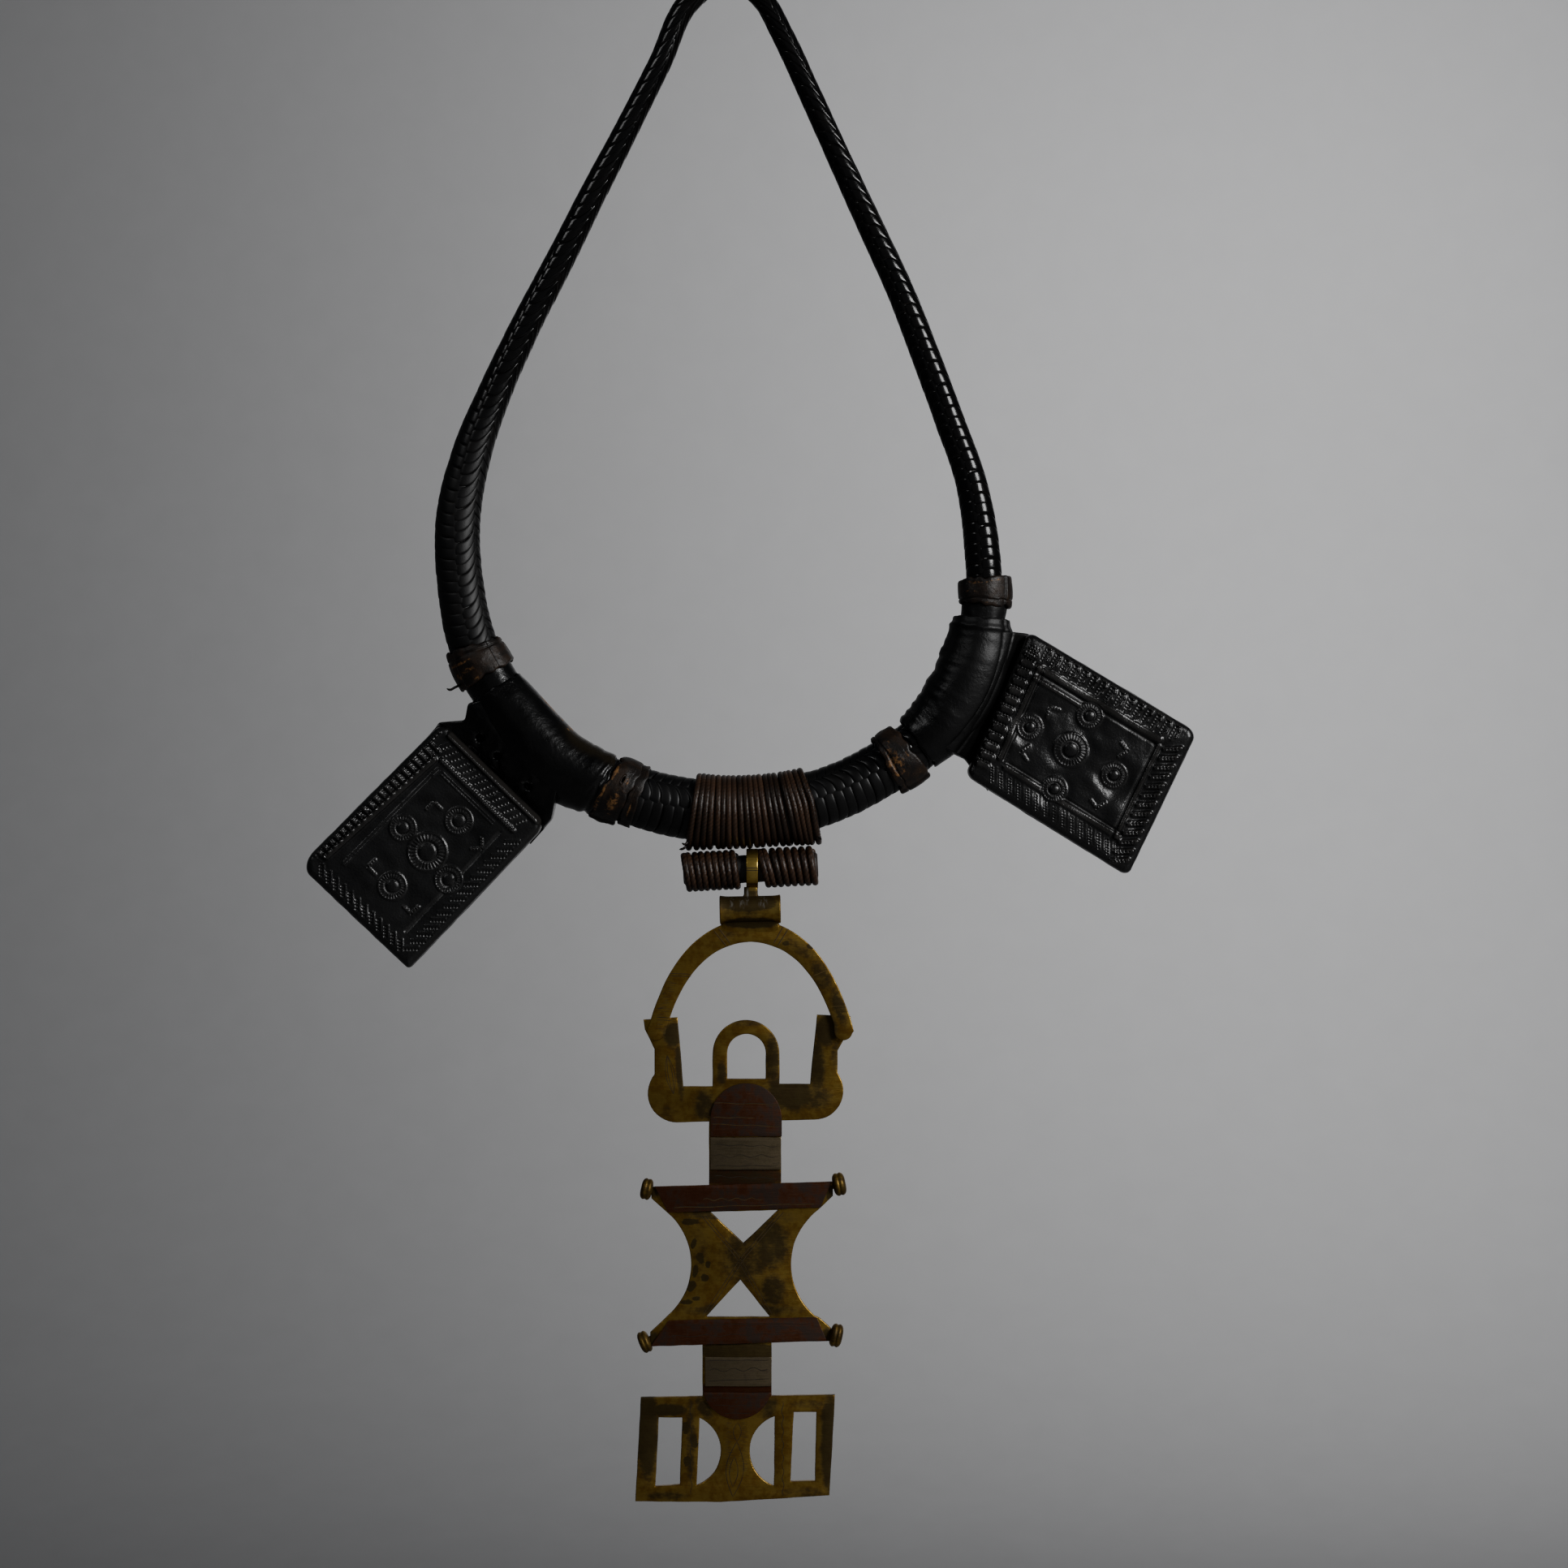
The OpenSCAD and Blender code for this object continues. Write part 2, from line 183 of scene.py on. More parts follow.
def rough(points, size, seed=1):
    """Smooth noise from -1 to 1 whose bumps have the given size, one value or three."""
    p = np.asarray(points, float) / size
    base = np.floor(p).astype(np.int64)
    f = p - base
    f = f * f * (3 - 2 * f)
    total = np.zeros(p.shape[:-1])
    for corner in itertools.product((0, 1), repeat=3):
        k = (base + corner) * np.array([73856093, 19349663, 83492791])
        h = k[..., 0] ^ k[..., 1] ^ k[..., 2] ^ (seed * 97531)
        h = (h ^ (h >> 13)) * 60493 & 0xFFFFFFF
        h = (h ^ (h >> 11)) * 19997 & 0xFFFFFFF
        value = (h & 0xFFFF) / 32767.5 - 1
        total += value * np.prod(np.where(corner, f, 1 - f), axis=-1)
    return total


def smooth(value, low, high):
    f = np.clip((np.asarray(value, float) - low) / (high - low), 0, 1)
    return f * f * (3 - 2 * f)


def hump(value, width):
    """1 at zero, falling off on both sides over the width."""
    return np.exp(-(value / width)**2)


def once_round(count):
    """Angles once round in degrees, as one row."""
    return np.linspace(-180, 180, count, endpoint=False)[None, :]


class Surface:
    """Points and faces of one piece, in millimetres, with wear and tone kept for its finish."""

    def __init__(self):
        self.points, self.faces, self.wear, self.tone = [], [], [], []
        self.count = 0

    def add(self, points, faces, wear=0.0, tone=0.0):
        points = np.asarray(points, float).reshape(-1, 3)
        self.points.append(points)
        self.faces.extend((np.asarray(faces) + self.count).tolist())
        for kept, value in ((self.wear, wear), (self.tone, tone)):
            value = np.asarray(value, float).ravel()
            kept.append(np.full(len(points), value[0]) if len(value) == 1 else value)
        self.count += len(points)

    def grid(self, points, around=False, closed=False, wear=0.0, tone=0.0, flip=False):
        """Adds rows of points; around joins each row's ends, closed the last row to the first."""
        rows, columns = points.shape[:2]
        index = np.arange(rows * columns).reshape(rows, columns)
        if around:
            index = np.hstack([index, index[:, :1]])
        if closed:
            index = np.vstack([index, index[:1]])
        corners = [index[:-1, :-1], index[1:, :-1], index[1:, 1:], index[:-1, 1:]]
        if flip:
            corners.reverse()
        self.add(points, np.stack(corners, -1).reshape(-1, 4), wear, tone)

    def fan(self, ring, wear=0.0):
        """Closes a ring of points with triangles to its middle."""
        n = len(ring)
        first = np.arange(n)
        self.add(np.vstack([ring, np.mean(ring, axis=0)]),
                 np.stack([first, (first + 1) % n, np.full(n, n)], -1), wear)

    def tube(self, rings, wear=0.0, tone=0.0):
        """Adds rings of points and closes both ends."""
        self.grid(rings, around=True, wear=wear, tone=tone)
        self.fan(rings[0])
        self.fan(rings[-1])

    def mesh(self, name):
        mesh = bpy.data.meshes.new(name)
        mesh.from_pydata((np.concatenate(self.points) * MM).tolist(), [], self.faces)
        return mesh


def cleaned(mesh, gap):
    """Joins points that lie closer than the gap and turns all faces outwards."""
    work = bmesh.new()
    work.from_mesh(mesh)
    bmesh.ops.remove_doubles(work, verts=work.verts, dist=gap)
    bmesh.ops.recalc_face_normals(work, faces=work.faces)
    work.to_mesh(mesh)
    work.free()


def link(name, mesh, material, body, replaced=(), sharp=None):
    """Makes a mesh into a piece of the necklace that rides on a body."""
    mesh.shade_smooth()
    if sharp is not None:
        mesh.set_sharp_from_angle(angle=math.radians(sharp))
    piece = bpy.data.objects.new(name, mesh)
    bpy.context.scene.collection.objects.link(piece)
    mesh.materials.append(material)
    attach(piece, body)
    if replaced:
        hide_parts(*replaced)


def build(name, surface, material, body, replaced=(), sharp=None, turn=True):
    """Makes a surface into a piece; turn cleans it and sets its faces outwards."""
    mesh = surface.mesh(name)
    for key, kept in (("wear", surface.wear), ("tone", surface.tone)):
        layer = mesh.attributes.new(key, 'FLOAT', 'POINT')
        layer.data.foreach_set("value", np.concatenate(kept).astype(np.float32))
    if turn:
        cleaned(mesh, 1e-6)
    mesh.validate()
    link(name, mesh, material, body, replaced, sharp)


# ---------------------------------------------------------------------------
# Shader maths and finishes
# ---------------------------------------------------------------------------


class Value:
    """One socket of a material, with the arithmetic that the finishes use."""

    def __init__(self, finish, socket):
        self.finish, self.socket = finish, socket

    def math(self, operation, first, second, clamp=False):
        node = self.finish.node('ShaderNodeMath', {"operation": operation, "use_clamp": clamp},
                                {0: first, 1: second})
        return Value(self.finish, node.outputs[0])

    def __add__(self, other):
        return self.math('ADD', self, other)

    __radd__ = __add__

    def __mul__(self, other):
        return self.math('MULTIPLY', self, other)

    __rmul__ = __mul__

    def __sub__(self, other):
        return self.math('SUBTRACT', self, other)

    def __rsub__(self, other):
        return self.math('SUBTRACT', other, self)

    def most(self, other):
        return self.math('MAXIMUM', self, other)

    def clamped(self):
        return self.math('ADD', self, 0.0, clamp=True)

    def between(self, low, high):
        """0 at low and 1 at high, with a smooth step from one to the other."""
        node = self.finish.node('ShaderNodeMapRange', {"interpolation_type": 'SMOOTHSTEP'},
                                {"Value": self, "From Min": low, "From Max": high})
        return Value(self.finish, node.outputs["Result"])


class Finish:
    """A material whose nodes are made one by one through node()."""

    def __init__(self, name):
        self.material = bpy.data.materials.new(name)
        self.material.use_nodes = True
        self.tree = self.material.node_tree
        self.tree.nodes.clear()
        self.shader = self.node('ShaderNodeBsdfPrincipled')
        self.node('ShaderNodeOutputMaterial', {}, {
            "Surface": Value(self, self.shader.outputs[0])})
        self.where = Value(self, self.node('ShaderNodeTexCoord').outputs["Object"])
        split = self.node('ShaderNodeSeparateXYZ', {}, {0: self.where})
        self.x, self.z = Value(self, split.outputs["X"]), Value(self, split.outputs["Z"])

    def node(self, kind, settings=None, inputs=None):
        """Adds a node, sets its settings and then fills or links its sockets."""
        node = self.tree.nodes.new(kind)
        for key, value in (settings or {}).items():
            setattr(node, key, value)
        for key, value in (inputs or {}).items():
            self.fill(node.inputs[key], value)
        return node

    def fill(self, socket, value):
        if isinstance(value, Value):
            self.tree.links.new(value.socket, socket)
        else:
            socket.default_value = value

    def mark(self, name):
        node = self.node('ShaderNodeAttribute', {"attribute_name": name})
        return Value(self, node.outputs["Fac"])

    def stretched(self, scale):
        node = self.node('ShaderNodeMapping', {}, {"Vector": self.where, "Scale": scale})
        return Value(self, node.outputs[0])

    def noise(self, size, detail=3.0, roughness=0.55, where=None):
        """Noise from 0 to 1 whose bumps are about the given size in metres."""
        node = self.node('ShaderNodeTexNoise', {}, {
            "Vector": where or self.where, "Scale": 1 / size, "Detail": detail,
            "Roughness": roughness})
        return Value(self, node.outputs["Fac"])

    def cracks(self, size):
        """Distance from the edges of cells of about the given size in metres."""
        node = self.node('ShaderNodeTexVoronoi', {"feature": 'DISTANCE_TO_EDGE'}, {
            "Vector": self.where, "Scale": 1 / size})
        return Value(self, node.outputs["Distance"])

    def mixed(self, first, second, factor):
        """One colour going over into another."""
        colours = [c if isinstance(c, Value) else (*c[:3], 1.0) for c in (first, second)]
        node = self.node('ShaderNodeMix', {"data_type": 'RGBA'}, {
            0: factor, 6: colours[0], 7: colours[1]})
        return Value(self, node.outputs[2])

    def stain(self, spots):
        """Soft ovals on the pendant, as places, half sizes and a turn in the picture's points."""
        total = None
        for px, py, wide, high, turn, amount in spots:
            across, up = upright(px, py)
            oval = self.node('ShaderNodeMapping', {"vector_type": 'TEXTURE'}, {
                "Vector": self.where, "Rotation": (0, math.radians(turn), 0),
                "Location": ((HINGE[0] + across) * MM, 0, (HINGE[1] + up) * MM),
                "Scale": (wide / POINTS * MM, 1, high / POINTS * MM)})
            far = self.node('ShaderNodeVectorMath', {"operation": 'LENGTH'}, {
                0: Value(self, oval.outputs[0])})
            spot = Value(self, far.outputs["Value"]).between(1.35, 0.4) * amount
            total = spot if total is None else total.most(spot)
        return total

    def raised(self, height, distance, strength):
        node = self.node('ShaderNodeBump', {}, {
            "Height": height, "Distance": distance, "Strength": strength})
        return Value(self, node.outputs[0])

    def set(self, **inputs):
        """Fills the shader's sockets; a name's underscores stand for spaces."""
        for key, value in inputs.items():
            self.fill(self.shader.inputs[key.replace("_", " ")], value)
        return self.material


def leather(name):
    """A new finish, with the wear and the tone that its pieces carry."""
    f = Finish(name)
    return f, f.mark("wear"), f.mark("tone")


@functools.cache
def braid_leather():
    look = bpy.context.scene.necklace.collar
    f, wear, tone = leather("braid_leather")
    mottle, grain, rub = f.noise(0.006, 4), f.noise(0.0005), f.noise(0.0018, 4)
    worn = (wear * 1.15 + mottle * 0.5 - 0.62).between(0.0, 0.5)
    colour = f.mixed(look.colour, look.brown_colour, (tone * 0.8 * mottle).clamped())
    # The strips' pale edges are partly wear and partly a painted glint on their lips
    colour = f.mixed(colour, look.edge_wear_and_glint_colour, worn)
    # duller round the bottom and down the left side
    lowest = f.z.between(-0.234, -0.246)
    left = f.x.between(-0.02, -0.04) * f.z.between(-0.11, -0.16)
    return f.set(Base_Color=colour,
                 Roughness=0.1 + mottle * 0.16 + worn * 0.2 + lowest * 0.26 + left * 0.3,
                 Normal=f.raised(grain * 0.3 + rub * 0.7, 0.0001, 0.6), Specular_IOR_Level=0.32)


@functools.cache
def core_leather():
    f = Finish("core_leather")
    grain, wide = f.noise(0.0016, 5), f.noise(0.009)
    colour = f.mixed((0.004, 0.003, 0.0025), (0.03, 0.016, 0.009), wide.between(0.35, 0.8))
    return f.set(Base_Color=colour, Roughness=0.42 + grain * 0.3,
                 Normal=f.raised(grain, 0.0004, 0.7))


@functools.cache
def sleeve_leather():
    look = bpy.context.scene.necklace.sleeves
    f, wear, tone = leather("sleeve_leather")
    mottle, fine = f.noise(0.008, 4), f.noise(0.0011, 3, 0.6)
    patch = f.noise(0.005).between(0.48, 0.66)
    worn = (wear * 1.4 + (fine - 0.5) * 1.3 + (mottle - 0.5) * 0.5).between(0.45, 0.9)
    colour = f.mixed(look.colour, look.brown_colour,
                     (tone + (mottle - 0.5) * 0.6).between(0.15, 0.8))
    colour = f.mixed(colour, look.worn_colour, worn)
    height = ((fine - 0.5) * (0.3 + patch * 0.4) + mottle * 0.9
              + f.cracks(0.0011).between(0.0, 0.1) * 0.02)
    right = f.x.between(0.05, 0.08)
    return f.set(Base_Color=colour, Roughness=0.16 + mottle * 0.2 + worn * 0.25 + right * 0.2,
                 Normal=f.raised(height, 0.0004, 0.7), Specular_IOR_Level=0.3)


@functools.cache
def pouch_leather():
    look = bpy.context.scene.necklace.pouches
    f, wear, tone = leather("pouch_leather")
    mottle, fine = f.noise(0.007, 5), f.noise(0.0007, 4)
    worn = (wear * 1.1 + (mottle - 0.5) * 0.8 + (fine - 0.5) * 0.3).between(0.3, 1.1)
    colour = f.mixed(look.colour, look.grey_colour, mottle.between(0.35, 0.75) * 0.6)
    # The raised parts' paler grey is partly wear and partly a painted sheen on them
    colour = f.mixed(colour, look.brown_colour, worn)
    colour = f.mixed(colour, (0.004, 0.0035, 0.003), (tone * 0.9).clamped())
    return f.set(Base_Color=colour,
                 Roughness=(0.23 + mottle * 0.18 - wear * 0.1 + tone * 0.25).clamped(),
                 Normal=f.raised(fine * 0.6 + mottle * 0.9, 0.00028, 0.7),
                 Specular_IOR_Level=0.58)


@functools.cache
def band_leather():
    look = bpy.context.scene.necklace.sleeves
    f, wear, tone = leather("band_leather")
    mottle, fine, scuff = f.noise(0.004, 5), f.noise(0.0008, 4), f.noise(0.0012, 6, 0.72)
    worn = (wear * 0.62 + (scuff - 0.5) * 2.2 + (mottle - 0.5)).between(0.38, 0.85)
    colour = f.mixed(look.band_dark, look.band_colour, (mottle - tone * 0.4).between(0.35, 0.65))
    colour = f.mixed(colour, look.gold_colour, worn)
    colour = f.mixed(colour, (0.002, 0.0016, 0.0014), tone.between(0.55, 0.9))
    return f.set(Base_Color=colour, Roughness=0.3 + mottle * 0.25,
                 Normal=f.raised(fine * 0.6 + scuff * 0.7, 0.00028, 0.7),
                 Specular_IOR_Level=0.35)


@functools.cache
def waxed_cord():
    look = bpy.context.scene.necklace.cords
    f, wear, tone = leather("waxed_cord")
    mottle, fibre = f.noise(0.005, 4), f.noise(0.0006, 4)
    # dark_colour goes between the plies as painted shade, and on the darker turns at random
    colour = f.mixed(look.colour, look.dark_colour, (tone * 0.7 + mottle * 0.5).between(0.2, 0.9))
    colour = f.mixed(colour, look.rubbed_colour, (wear * mottle * 1.4).between(0.45, 0.9))
    return f.set(Base_Color=colour, Roughness=0.2 + mottle * 0.28,
                 Normal=f.raised(fibre, 0.0002, 0.8), Specular_IOR_Level=0.28)


# Dark, reddened, stained and polished places, as spots in a picture taken square to the
# pendant: place, half width, half height, turn and strength. On the barrel some are painted
# light: the dark band along its underside is painted shade, the reddened and polished spots
# low on it are partly a painted highlight, and the pale streaks are painted glints
PLATE_DARK = [
    (896, 1150, 14, 10, 0, 0.3), (985, 1168, 26, 10, 35, 0.35), (1012, 1202, 12, 24, -28, 0.4),
    (1034, 1240, 10, 26, -18, 0.5), (812, 1222, 10, 14, 18, 0.18),
    (830, 1275, 14, 16, 0, 0.8), (838, 1318, 6, 40, -4, 0.6), (868, 1362, 14, 22, 0, 0.5),
    (822, 1370, 16, 10, 0, 0.2), (889, 1322, 7, 16, 0, 0.5), (952, 1305, 10, 40, 0, 0.55),
    (924, 1260, 30, 5, 0, 0.35), (974, 1345, 32, 24, 0, 0.75), (1004, 1352, 26, 16, 0, 0.5),
    (1018, 1268, 14, 22, 0, 0.8), (1006, 1315, 12, 42, 0, 0.6), (1030, 1300, 8, 20, 0, 0.35),
    (806, 1466, 9, 10, 0, 0.7), (1024, 1470, 9, 12, 0, 0.7), (804, 1650, 9, 10, 0, 0.7),
    (1020, 1646, 9, 12, 0, 0.7), (880, 1496, 40, 7, 0, 0.5), (918, 1548, 34, 40, 0, 0.45),
    (948, 1532, 26, 34, 0, 0.6), (916, 1450, 60, 12, 0, 0.45), (968, 1500, 20, 8, 0, 0.3),
    (862, 1540, 13, 44, 0, 0.24), (952, 1590, 18, 24, 0, 0.5),
    (914, 1614, 78, 9, 0, 0.5), (912, 1664, 60, 10, 0, 1.1), (798, 1765, 14, 60, 0, 0.9),
    (822, 1737, 26, 8, 0, 0.8), (851, 1775, 7, 60, 0, 0.4), (1022, 1780, 12, 66, 0, 0.85),
    (998, 1730, 26, 7, 0, 0.35), (990, 1838, 36, 7, 0, 0.3), (868, 1735, 9, 18, -30, 0.5),
    (948, 1735, 9, 18, 30, 0.5), (822, 1843, 30, 6, 0, 0.45)]
LEAF_STAINS = [
    (855, 1532, 4, 8, 20, 1), (863, 1550, 6, 8, -20, 0.95), (857, 1566, 4, 9, 10, 1),
    (868, 1574, 6, 6, 0, 0.85), (852, 1584, 6, 8, 30, 1), (846, 1604, 9, 4, 0, 0.85),
    (858, 1600, 7, 4, 0, 0.75), (872, 1558, 4, 6, 0, 0.75), (850, 1505, 13, 5, 0, 0.75),
    (1000, 1166, 7, 4, 0, 0.85), (968, 1162, 6, 4, 0, 0.75), (1033, 1240, 7, 23, -15, 0.75),
    (845, 1760, 6, 9, 0, 0.85), (855, 1776, 6, 10, 0, 0.85), (847, 1800, 6, 8, 0, 0.85)]
PLATE_RED = [
    (916, 1450, 60, 14, 0, 1.1), (912, 1712, 60, 12, 0, 1.1), (910, 1150, 26, 6, 0, 0.4),
    (851, 1775, 8, 60, 0, 0.4), (930, 1262, 26, 5, 0, 0.3)]
# The band along the barrel's underside, where it meets the arch, is painted shade; the other dark
# places are patina
FITTING_DARK_AND_SHADE = [
    (920, 1110, 40, 14, 0, 1.0), (915, 1096, 9, 6, 0, 0.8), (926, 1137, 34, 7, 0, 1.0),
    (924, 1122, 24, 7, 0, 0.35), (796, 1464, 16, 16, 0, 0.4), (1034, 1459, 16, 16, 0, 0.4),
    (794, 1654, 16, 16, 0, 0.4), (1030, 1646, 16, 16, 0, 0.4)]
# The two reddened spots low on the barrel are partly the copper tone of a painted highlight
FITTING_RED_AND_HIGHLIGHT = [(896, 1126, 9, 9, 0, 0.6), (926, 1128, 20, 3, 0, 0.5), (910, 1150, 26, 6, 0, 0.4)]
# Painted glints: pale streaks that stand for the light's reflections in the barrel's dents
PAINTED_GLINTS = [(902, 1113, 3, 8, 0, 0.4), (914, 1113, 4, 7, 0, 0.3), (940, 1111, 6, 7, 10, 0.45),
            (921, 1104, 3, 10, 0, 0.5)]
# Polished places; the two low on the barrel are a painted highlight
POLISHED_AND_HIGHLIGHTS = [(926, 1063, 12, 22, 0, 1.0), (926, 1094, 8, 8, 0, 0.6), (955, 1117, 8, 9, 0, 0.8),
            (896, 1124, 8, 7, 0, 0.5), (926, 1127, 20, 2, 0, 0.4)]


def brass(name, dark_and_shaded_places, red_and_highlight_places, stains=(), painted_glints=(), polished=()):
    look = bpy.context.scene.necklace.pendant
    f = Finish(name)
    cloud, spots = f.noise(0.009, 5, 0.62), f.noise(0.0026, 5, 0.62)
    scratch = f.noise(0.0007, where=f.stretched((0.2, 1.0, 1.6)))
    fleck = f.noise(0.0008, 4, 0.7, f.stretched((0.5, 1.0, 1.3)))
    # patina, and along the barrel's underside painted shade
    dark = (f.stain(dark_and_shaded_places) * 1.25 + cloud * 0.6 + spots * 0.9 + fleck * 0.7
            - 1.08).between(-0.2, 0.75)
    if stains:
        dark = dark.most((f.stain(stains) + (spots + fleck - 1.0) * 1.1).between(0.2, 0.62))
    colour = f.mixed(look.brass_colour, look.warm_colour,
                     (spots * 0.7 + cloud * 0.3).between(0.4, 0.62))
    # reddened places; low on the barrel partly the copper tone of a painted highlight
    colour = f.mixed(colour, look.copper_colour,
                     (f.stain(red_and_highlight_places) + (spots - 0.5) * 0.6).between(0.25, 0.8))
    # polished places, and on the barrel's lower side a painted highlight
    if polished:
        colour = f.mixed(colour, look.bright_colour, f.stain(polished) * (1.25 - spots))
    colour = f.mixed(colour, look.dark_colour, dark * 0.92)
    # painted glints: pale streaks for the reflections in the barrel's dents
    if painted_glints:
        upward = f.noise(0.0009, 2, where=f.stretched((1.6, 1.0, 0.25)))
        colour = f.mixed(colour, (0.36, 0.36, 0.34),
                         f.stain(painted_glints) * upward.between(0.45, 0.75))
    return f.set(Base_Color=colour, Metallic=1.0 - dark * 0.25,
                 Roughness=0.27 + dark * 0.2 + scratch * 0.12,
                 Normal=f.raised(scratch * 0.6 + spots * 0.5, 0.00016, 0.6),
                 Specular_IOR_Level=0.15)


@functools.cache
def plate_brass():
    return brass("plate_brass", PLATE_DARK, PLATE_RED, LEAF_STAINS)


@functools.cache
def fitting_brass():
    return brass("fitting_brass", FITTING_DARK_AND_SHADE, FITTING_RED_AND_HIGHLIGHT, (), PAINTED_GLINTS, POLISHED_AND_HIGHLIGHTS)


@functools.cache
def aged_copper():
    look = bpy.context.scene.necklace.pendant
    f = Finish("aged_copper")
    cloud, spots = f.noise(0.009, 5, 0.62), f.noise(0.002, 5, 0.6)
    scratch = f.noise(0.0008, 4, where=f.stretched((0.14, 1.0, 1.4)))
    side = f.x.between((HINGE[0] - 24) * MM, (HINGE[0] + 24) * MM)
    dark = (cloud + side * 0.16 + (spots - 0.5) * 0.6).between(0.42, 0.7)
    colour = f.mixed(look.copper_colour, look.copper_dark, dark)
    colour = f.mixed(colour, look.copper_pale, (scratch - dark * 0.1).between(0.58, 0.72) * 0.5)
    return f.set(Base_Color=colour, Metallic=0.9 - dark * 0.3,
                 Roughness=0.32 + dark * 0.22 + scratch * 0.1,
                 Normal=f.raised(scratch * 0.7 + spots * 0.5, 0.00016, 0.5))


@functools.cache
def pale_metal():
    look = bpy.context.scene.necklace.pendant
    f = Finish("pale_metal")
    cloud, spots = f.noise(0.006, 5, 0.62), f.noise(0.0016, 5, 0.6)
    scratch = f.noise(0.0007, 4, where=f.stretched((0.14, 1.0, 1.4)))
    dark = (cloud * 0.6 + scratch * 0.3 + spots * 0.4).between(0.52, 0.84)
    return f.set(Base_Color=f.mixed(look.silver_colour, look.silver_dark, dark),
                 Metallic=0.95 - dark * 0.3, Roughness=0.3 + dark * 0.25 + scratch * 0.1,
                 Normal=f.raised(scratch * 0.7 + spots * 0.4, 0.00014, 0.5))


def mottled(name, first, second, roughness, metallic):
    f = Finish(name)
    mottle = f.noise(0.002)
    return f.set(Base_Color=f.mixed(first, second, mottle), Roughness=roughness + mottle * 0.2,
                 Metallic=metallic)


# ---------------------------------------------------------------------------
# The braided collar
# ---------------------------------------------------------------------------

# A strip's rows of points along and across it, half its width in steps of the braid, how far
# strips run on under the leather and cord round the collar, and their lift in millimetres
STRIP_ALONG = np.linspace(-0.2, 1.2, 15)[:, None]
STRIP_ACROSS = np.array([-1, -0.96, -0.88, -0.55, 0, 0.55, 0.88, 0.96, 1])
STRIP_HALF, STRIP_HIDDEN, STRIP_LIFT = 0.53, 0.12, 0.12


def braid_rows(s):
    """The seams' angles, the step and the slant at stations s, carried on past the top."""
    lap = np.floor(s / ROWS)
    f = s - lap * ROWS
    v0, l1, v2, l3, step, slant = (np.interp(f, SEAMS[:, 0], SEAMS[:, k]) for k in range(1, 7))
    after, before = lap > 0, lap < 0
    return (np.where(after, v2, np.where(before, v2 + 360, v0)),
            np.where(after, l3 - 360, np.where(before, l3, l1)),
            np.where(after, v0 - 360, np.where(before, v0, v2)),
            np.where(after, l1, np.where(before, l1 + 360, l3)), step, slant)


def braid_strips(look):
    """Every flat strip that shows on the collar, in four columns of opposite slant."""
    step = np.interp(FINE, SEAMS[:, 0], SEAMS[:, 5])
    count = np.concatenate([[0], np.cumsum(STEP / (step[1:] + step[:-1]) * 2)])
    whole = round(count[-1])
    count *= whole / count[-1]

    def station(phase):
        lap = np.floor(phase / whole)
        return np.interp(phase - lap * whole, count, FINE) + lap * ROWS

    random = np.random.default_rng(7)
    surface = Surface()
    u, share = STRIP_ALONG, STRIP_ACROSS
    past_end = np.abs(u - 0.5)
    narrow = np.sqrt(1 - 0.9 * np.clip((past_end - 0.5) / 0.22, 0, 1)**2)
    for column in range(4):
        phase = np.arange(whole) + (0.5 if column % 2 else 0.0)
        middle = station(phase)
        shown = np.ones(whole, bool)
        for first, last in (SLEEVE_LEFT, SLEEVE_RIGHT, BINDING):
            shown &= ~((middle > first + STRIP_HIDDEN) & (middle < last - STRIP_HIDDEN))
        phase, middle = phase[shown][:, None, None], middle[shown][:, None, None]
        slant = braid_rows(middle)[5]
        jitter = random.normal(0, 1, (5, len(phase), 1, 1))
        bow = ((0.2 + 0.15 * slant) * np.sin(np.pi * u)
               + jitter[4] * 0.03 * np.sin(2 * np.pi * u))
        s = station(phase + slant * (u - 0.5) + share * STRIP_HALF * narrow + bow
                    + jitter[0] * 0.045)
        v0, l1, v2, l3, _, _ = braid_rows(s)
        low, high = ((l1, v0), (l3, v0), (l3, v2 + 360), (l1, v2))[column]
        r = radius(s)
        across, lengthwise, lift = (np.interp(middle, RELIEF[:, 0], RELIEF[:, k])
                                    for k in (1, 2, 3))
        crown = (-look.groove_depth / MM * np.abs(share)**16 - across * share**2
                 - lengthwise * (2 * u - 1)**2)
        dip = -look.end_dip / MM * np.clip((past_end - 0.4) / 0.3, 0, 1)**1.6
        height = ((crown + dip + lift * share * look.relief + 0.04 * jitter[1])
                  * np.clip(r / 7.5, 0.5, 1.15))
        points = place(s, low + (high - low) * u, r + height + STRIP_LIFT)
        # Pale line just inside each strip's edges, partly wear and partly a painted glint on the
        # lip; the far end of a strip is worn too
        wear = (hump(np.abs(share) - 0.93, 0.06) * 0.5 + np.clip((u - 0.85) / 0.3, 0, 1) * 0.3
                + 0.06 * jitter[2] + 0 * s)
        tone = np.clip(0.3 + 0.3 * jitter[3], 0, 1) + 0 * s
        for k in range(len(points)):
            surface.grid(points[k], wear=wear[k], tone=tone[k], flip=column % 2)
    return surface


def collar_core(look):
    surface = Surface()
    s = np.linspace(0, ROWS, 520, endpoint=False)[:, None]
    surface.grid(place(s, once_round(28), radius(s) * (1 - look.core_inset)), around=True,
                 closed=True)
    return surface


class NECKLACE_OT_collar(Operator):
    """Braid the leather collar"""
    bl_idname = "necklace.collar"
    bl_label = "Braided Collar"

    def execute(self, context):
        look = context.scene.necklace.collar
        build("collar_strips", braid_strips(look), braid_leather(), "collar",
              ("collar_rope",), turn=False)
        build("collar_core", collar_core(look), core_leather(), "collar")
        return {'FINISHED'}


# ---------------------------------------------------------------------------
# Leather wrapped round the collar
# ---------------------------------------------------------------------------

TUCK = 2.5  # how far the leather runs on under its own ends
GRAIN_RADIUS = 8  # the radius at which rough places are laid round the collar


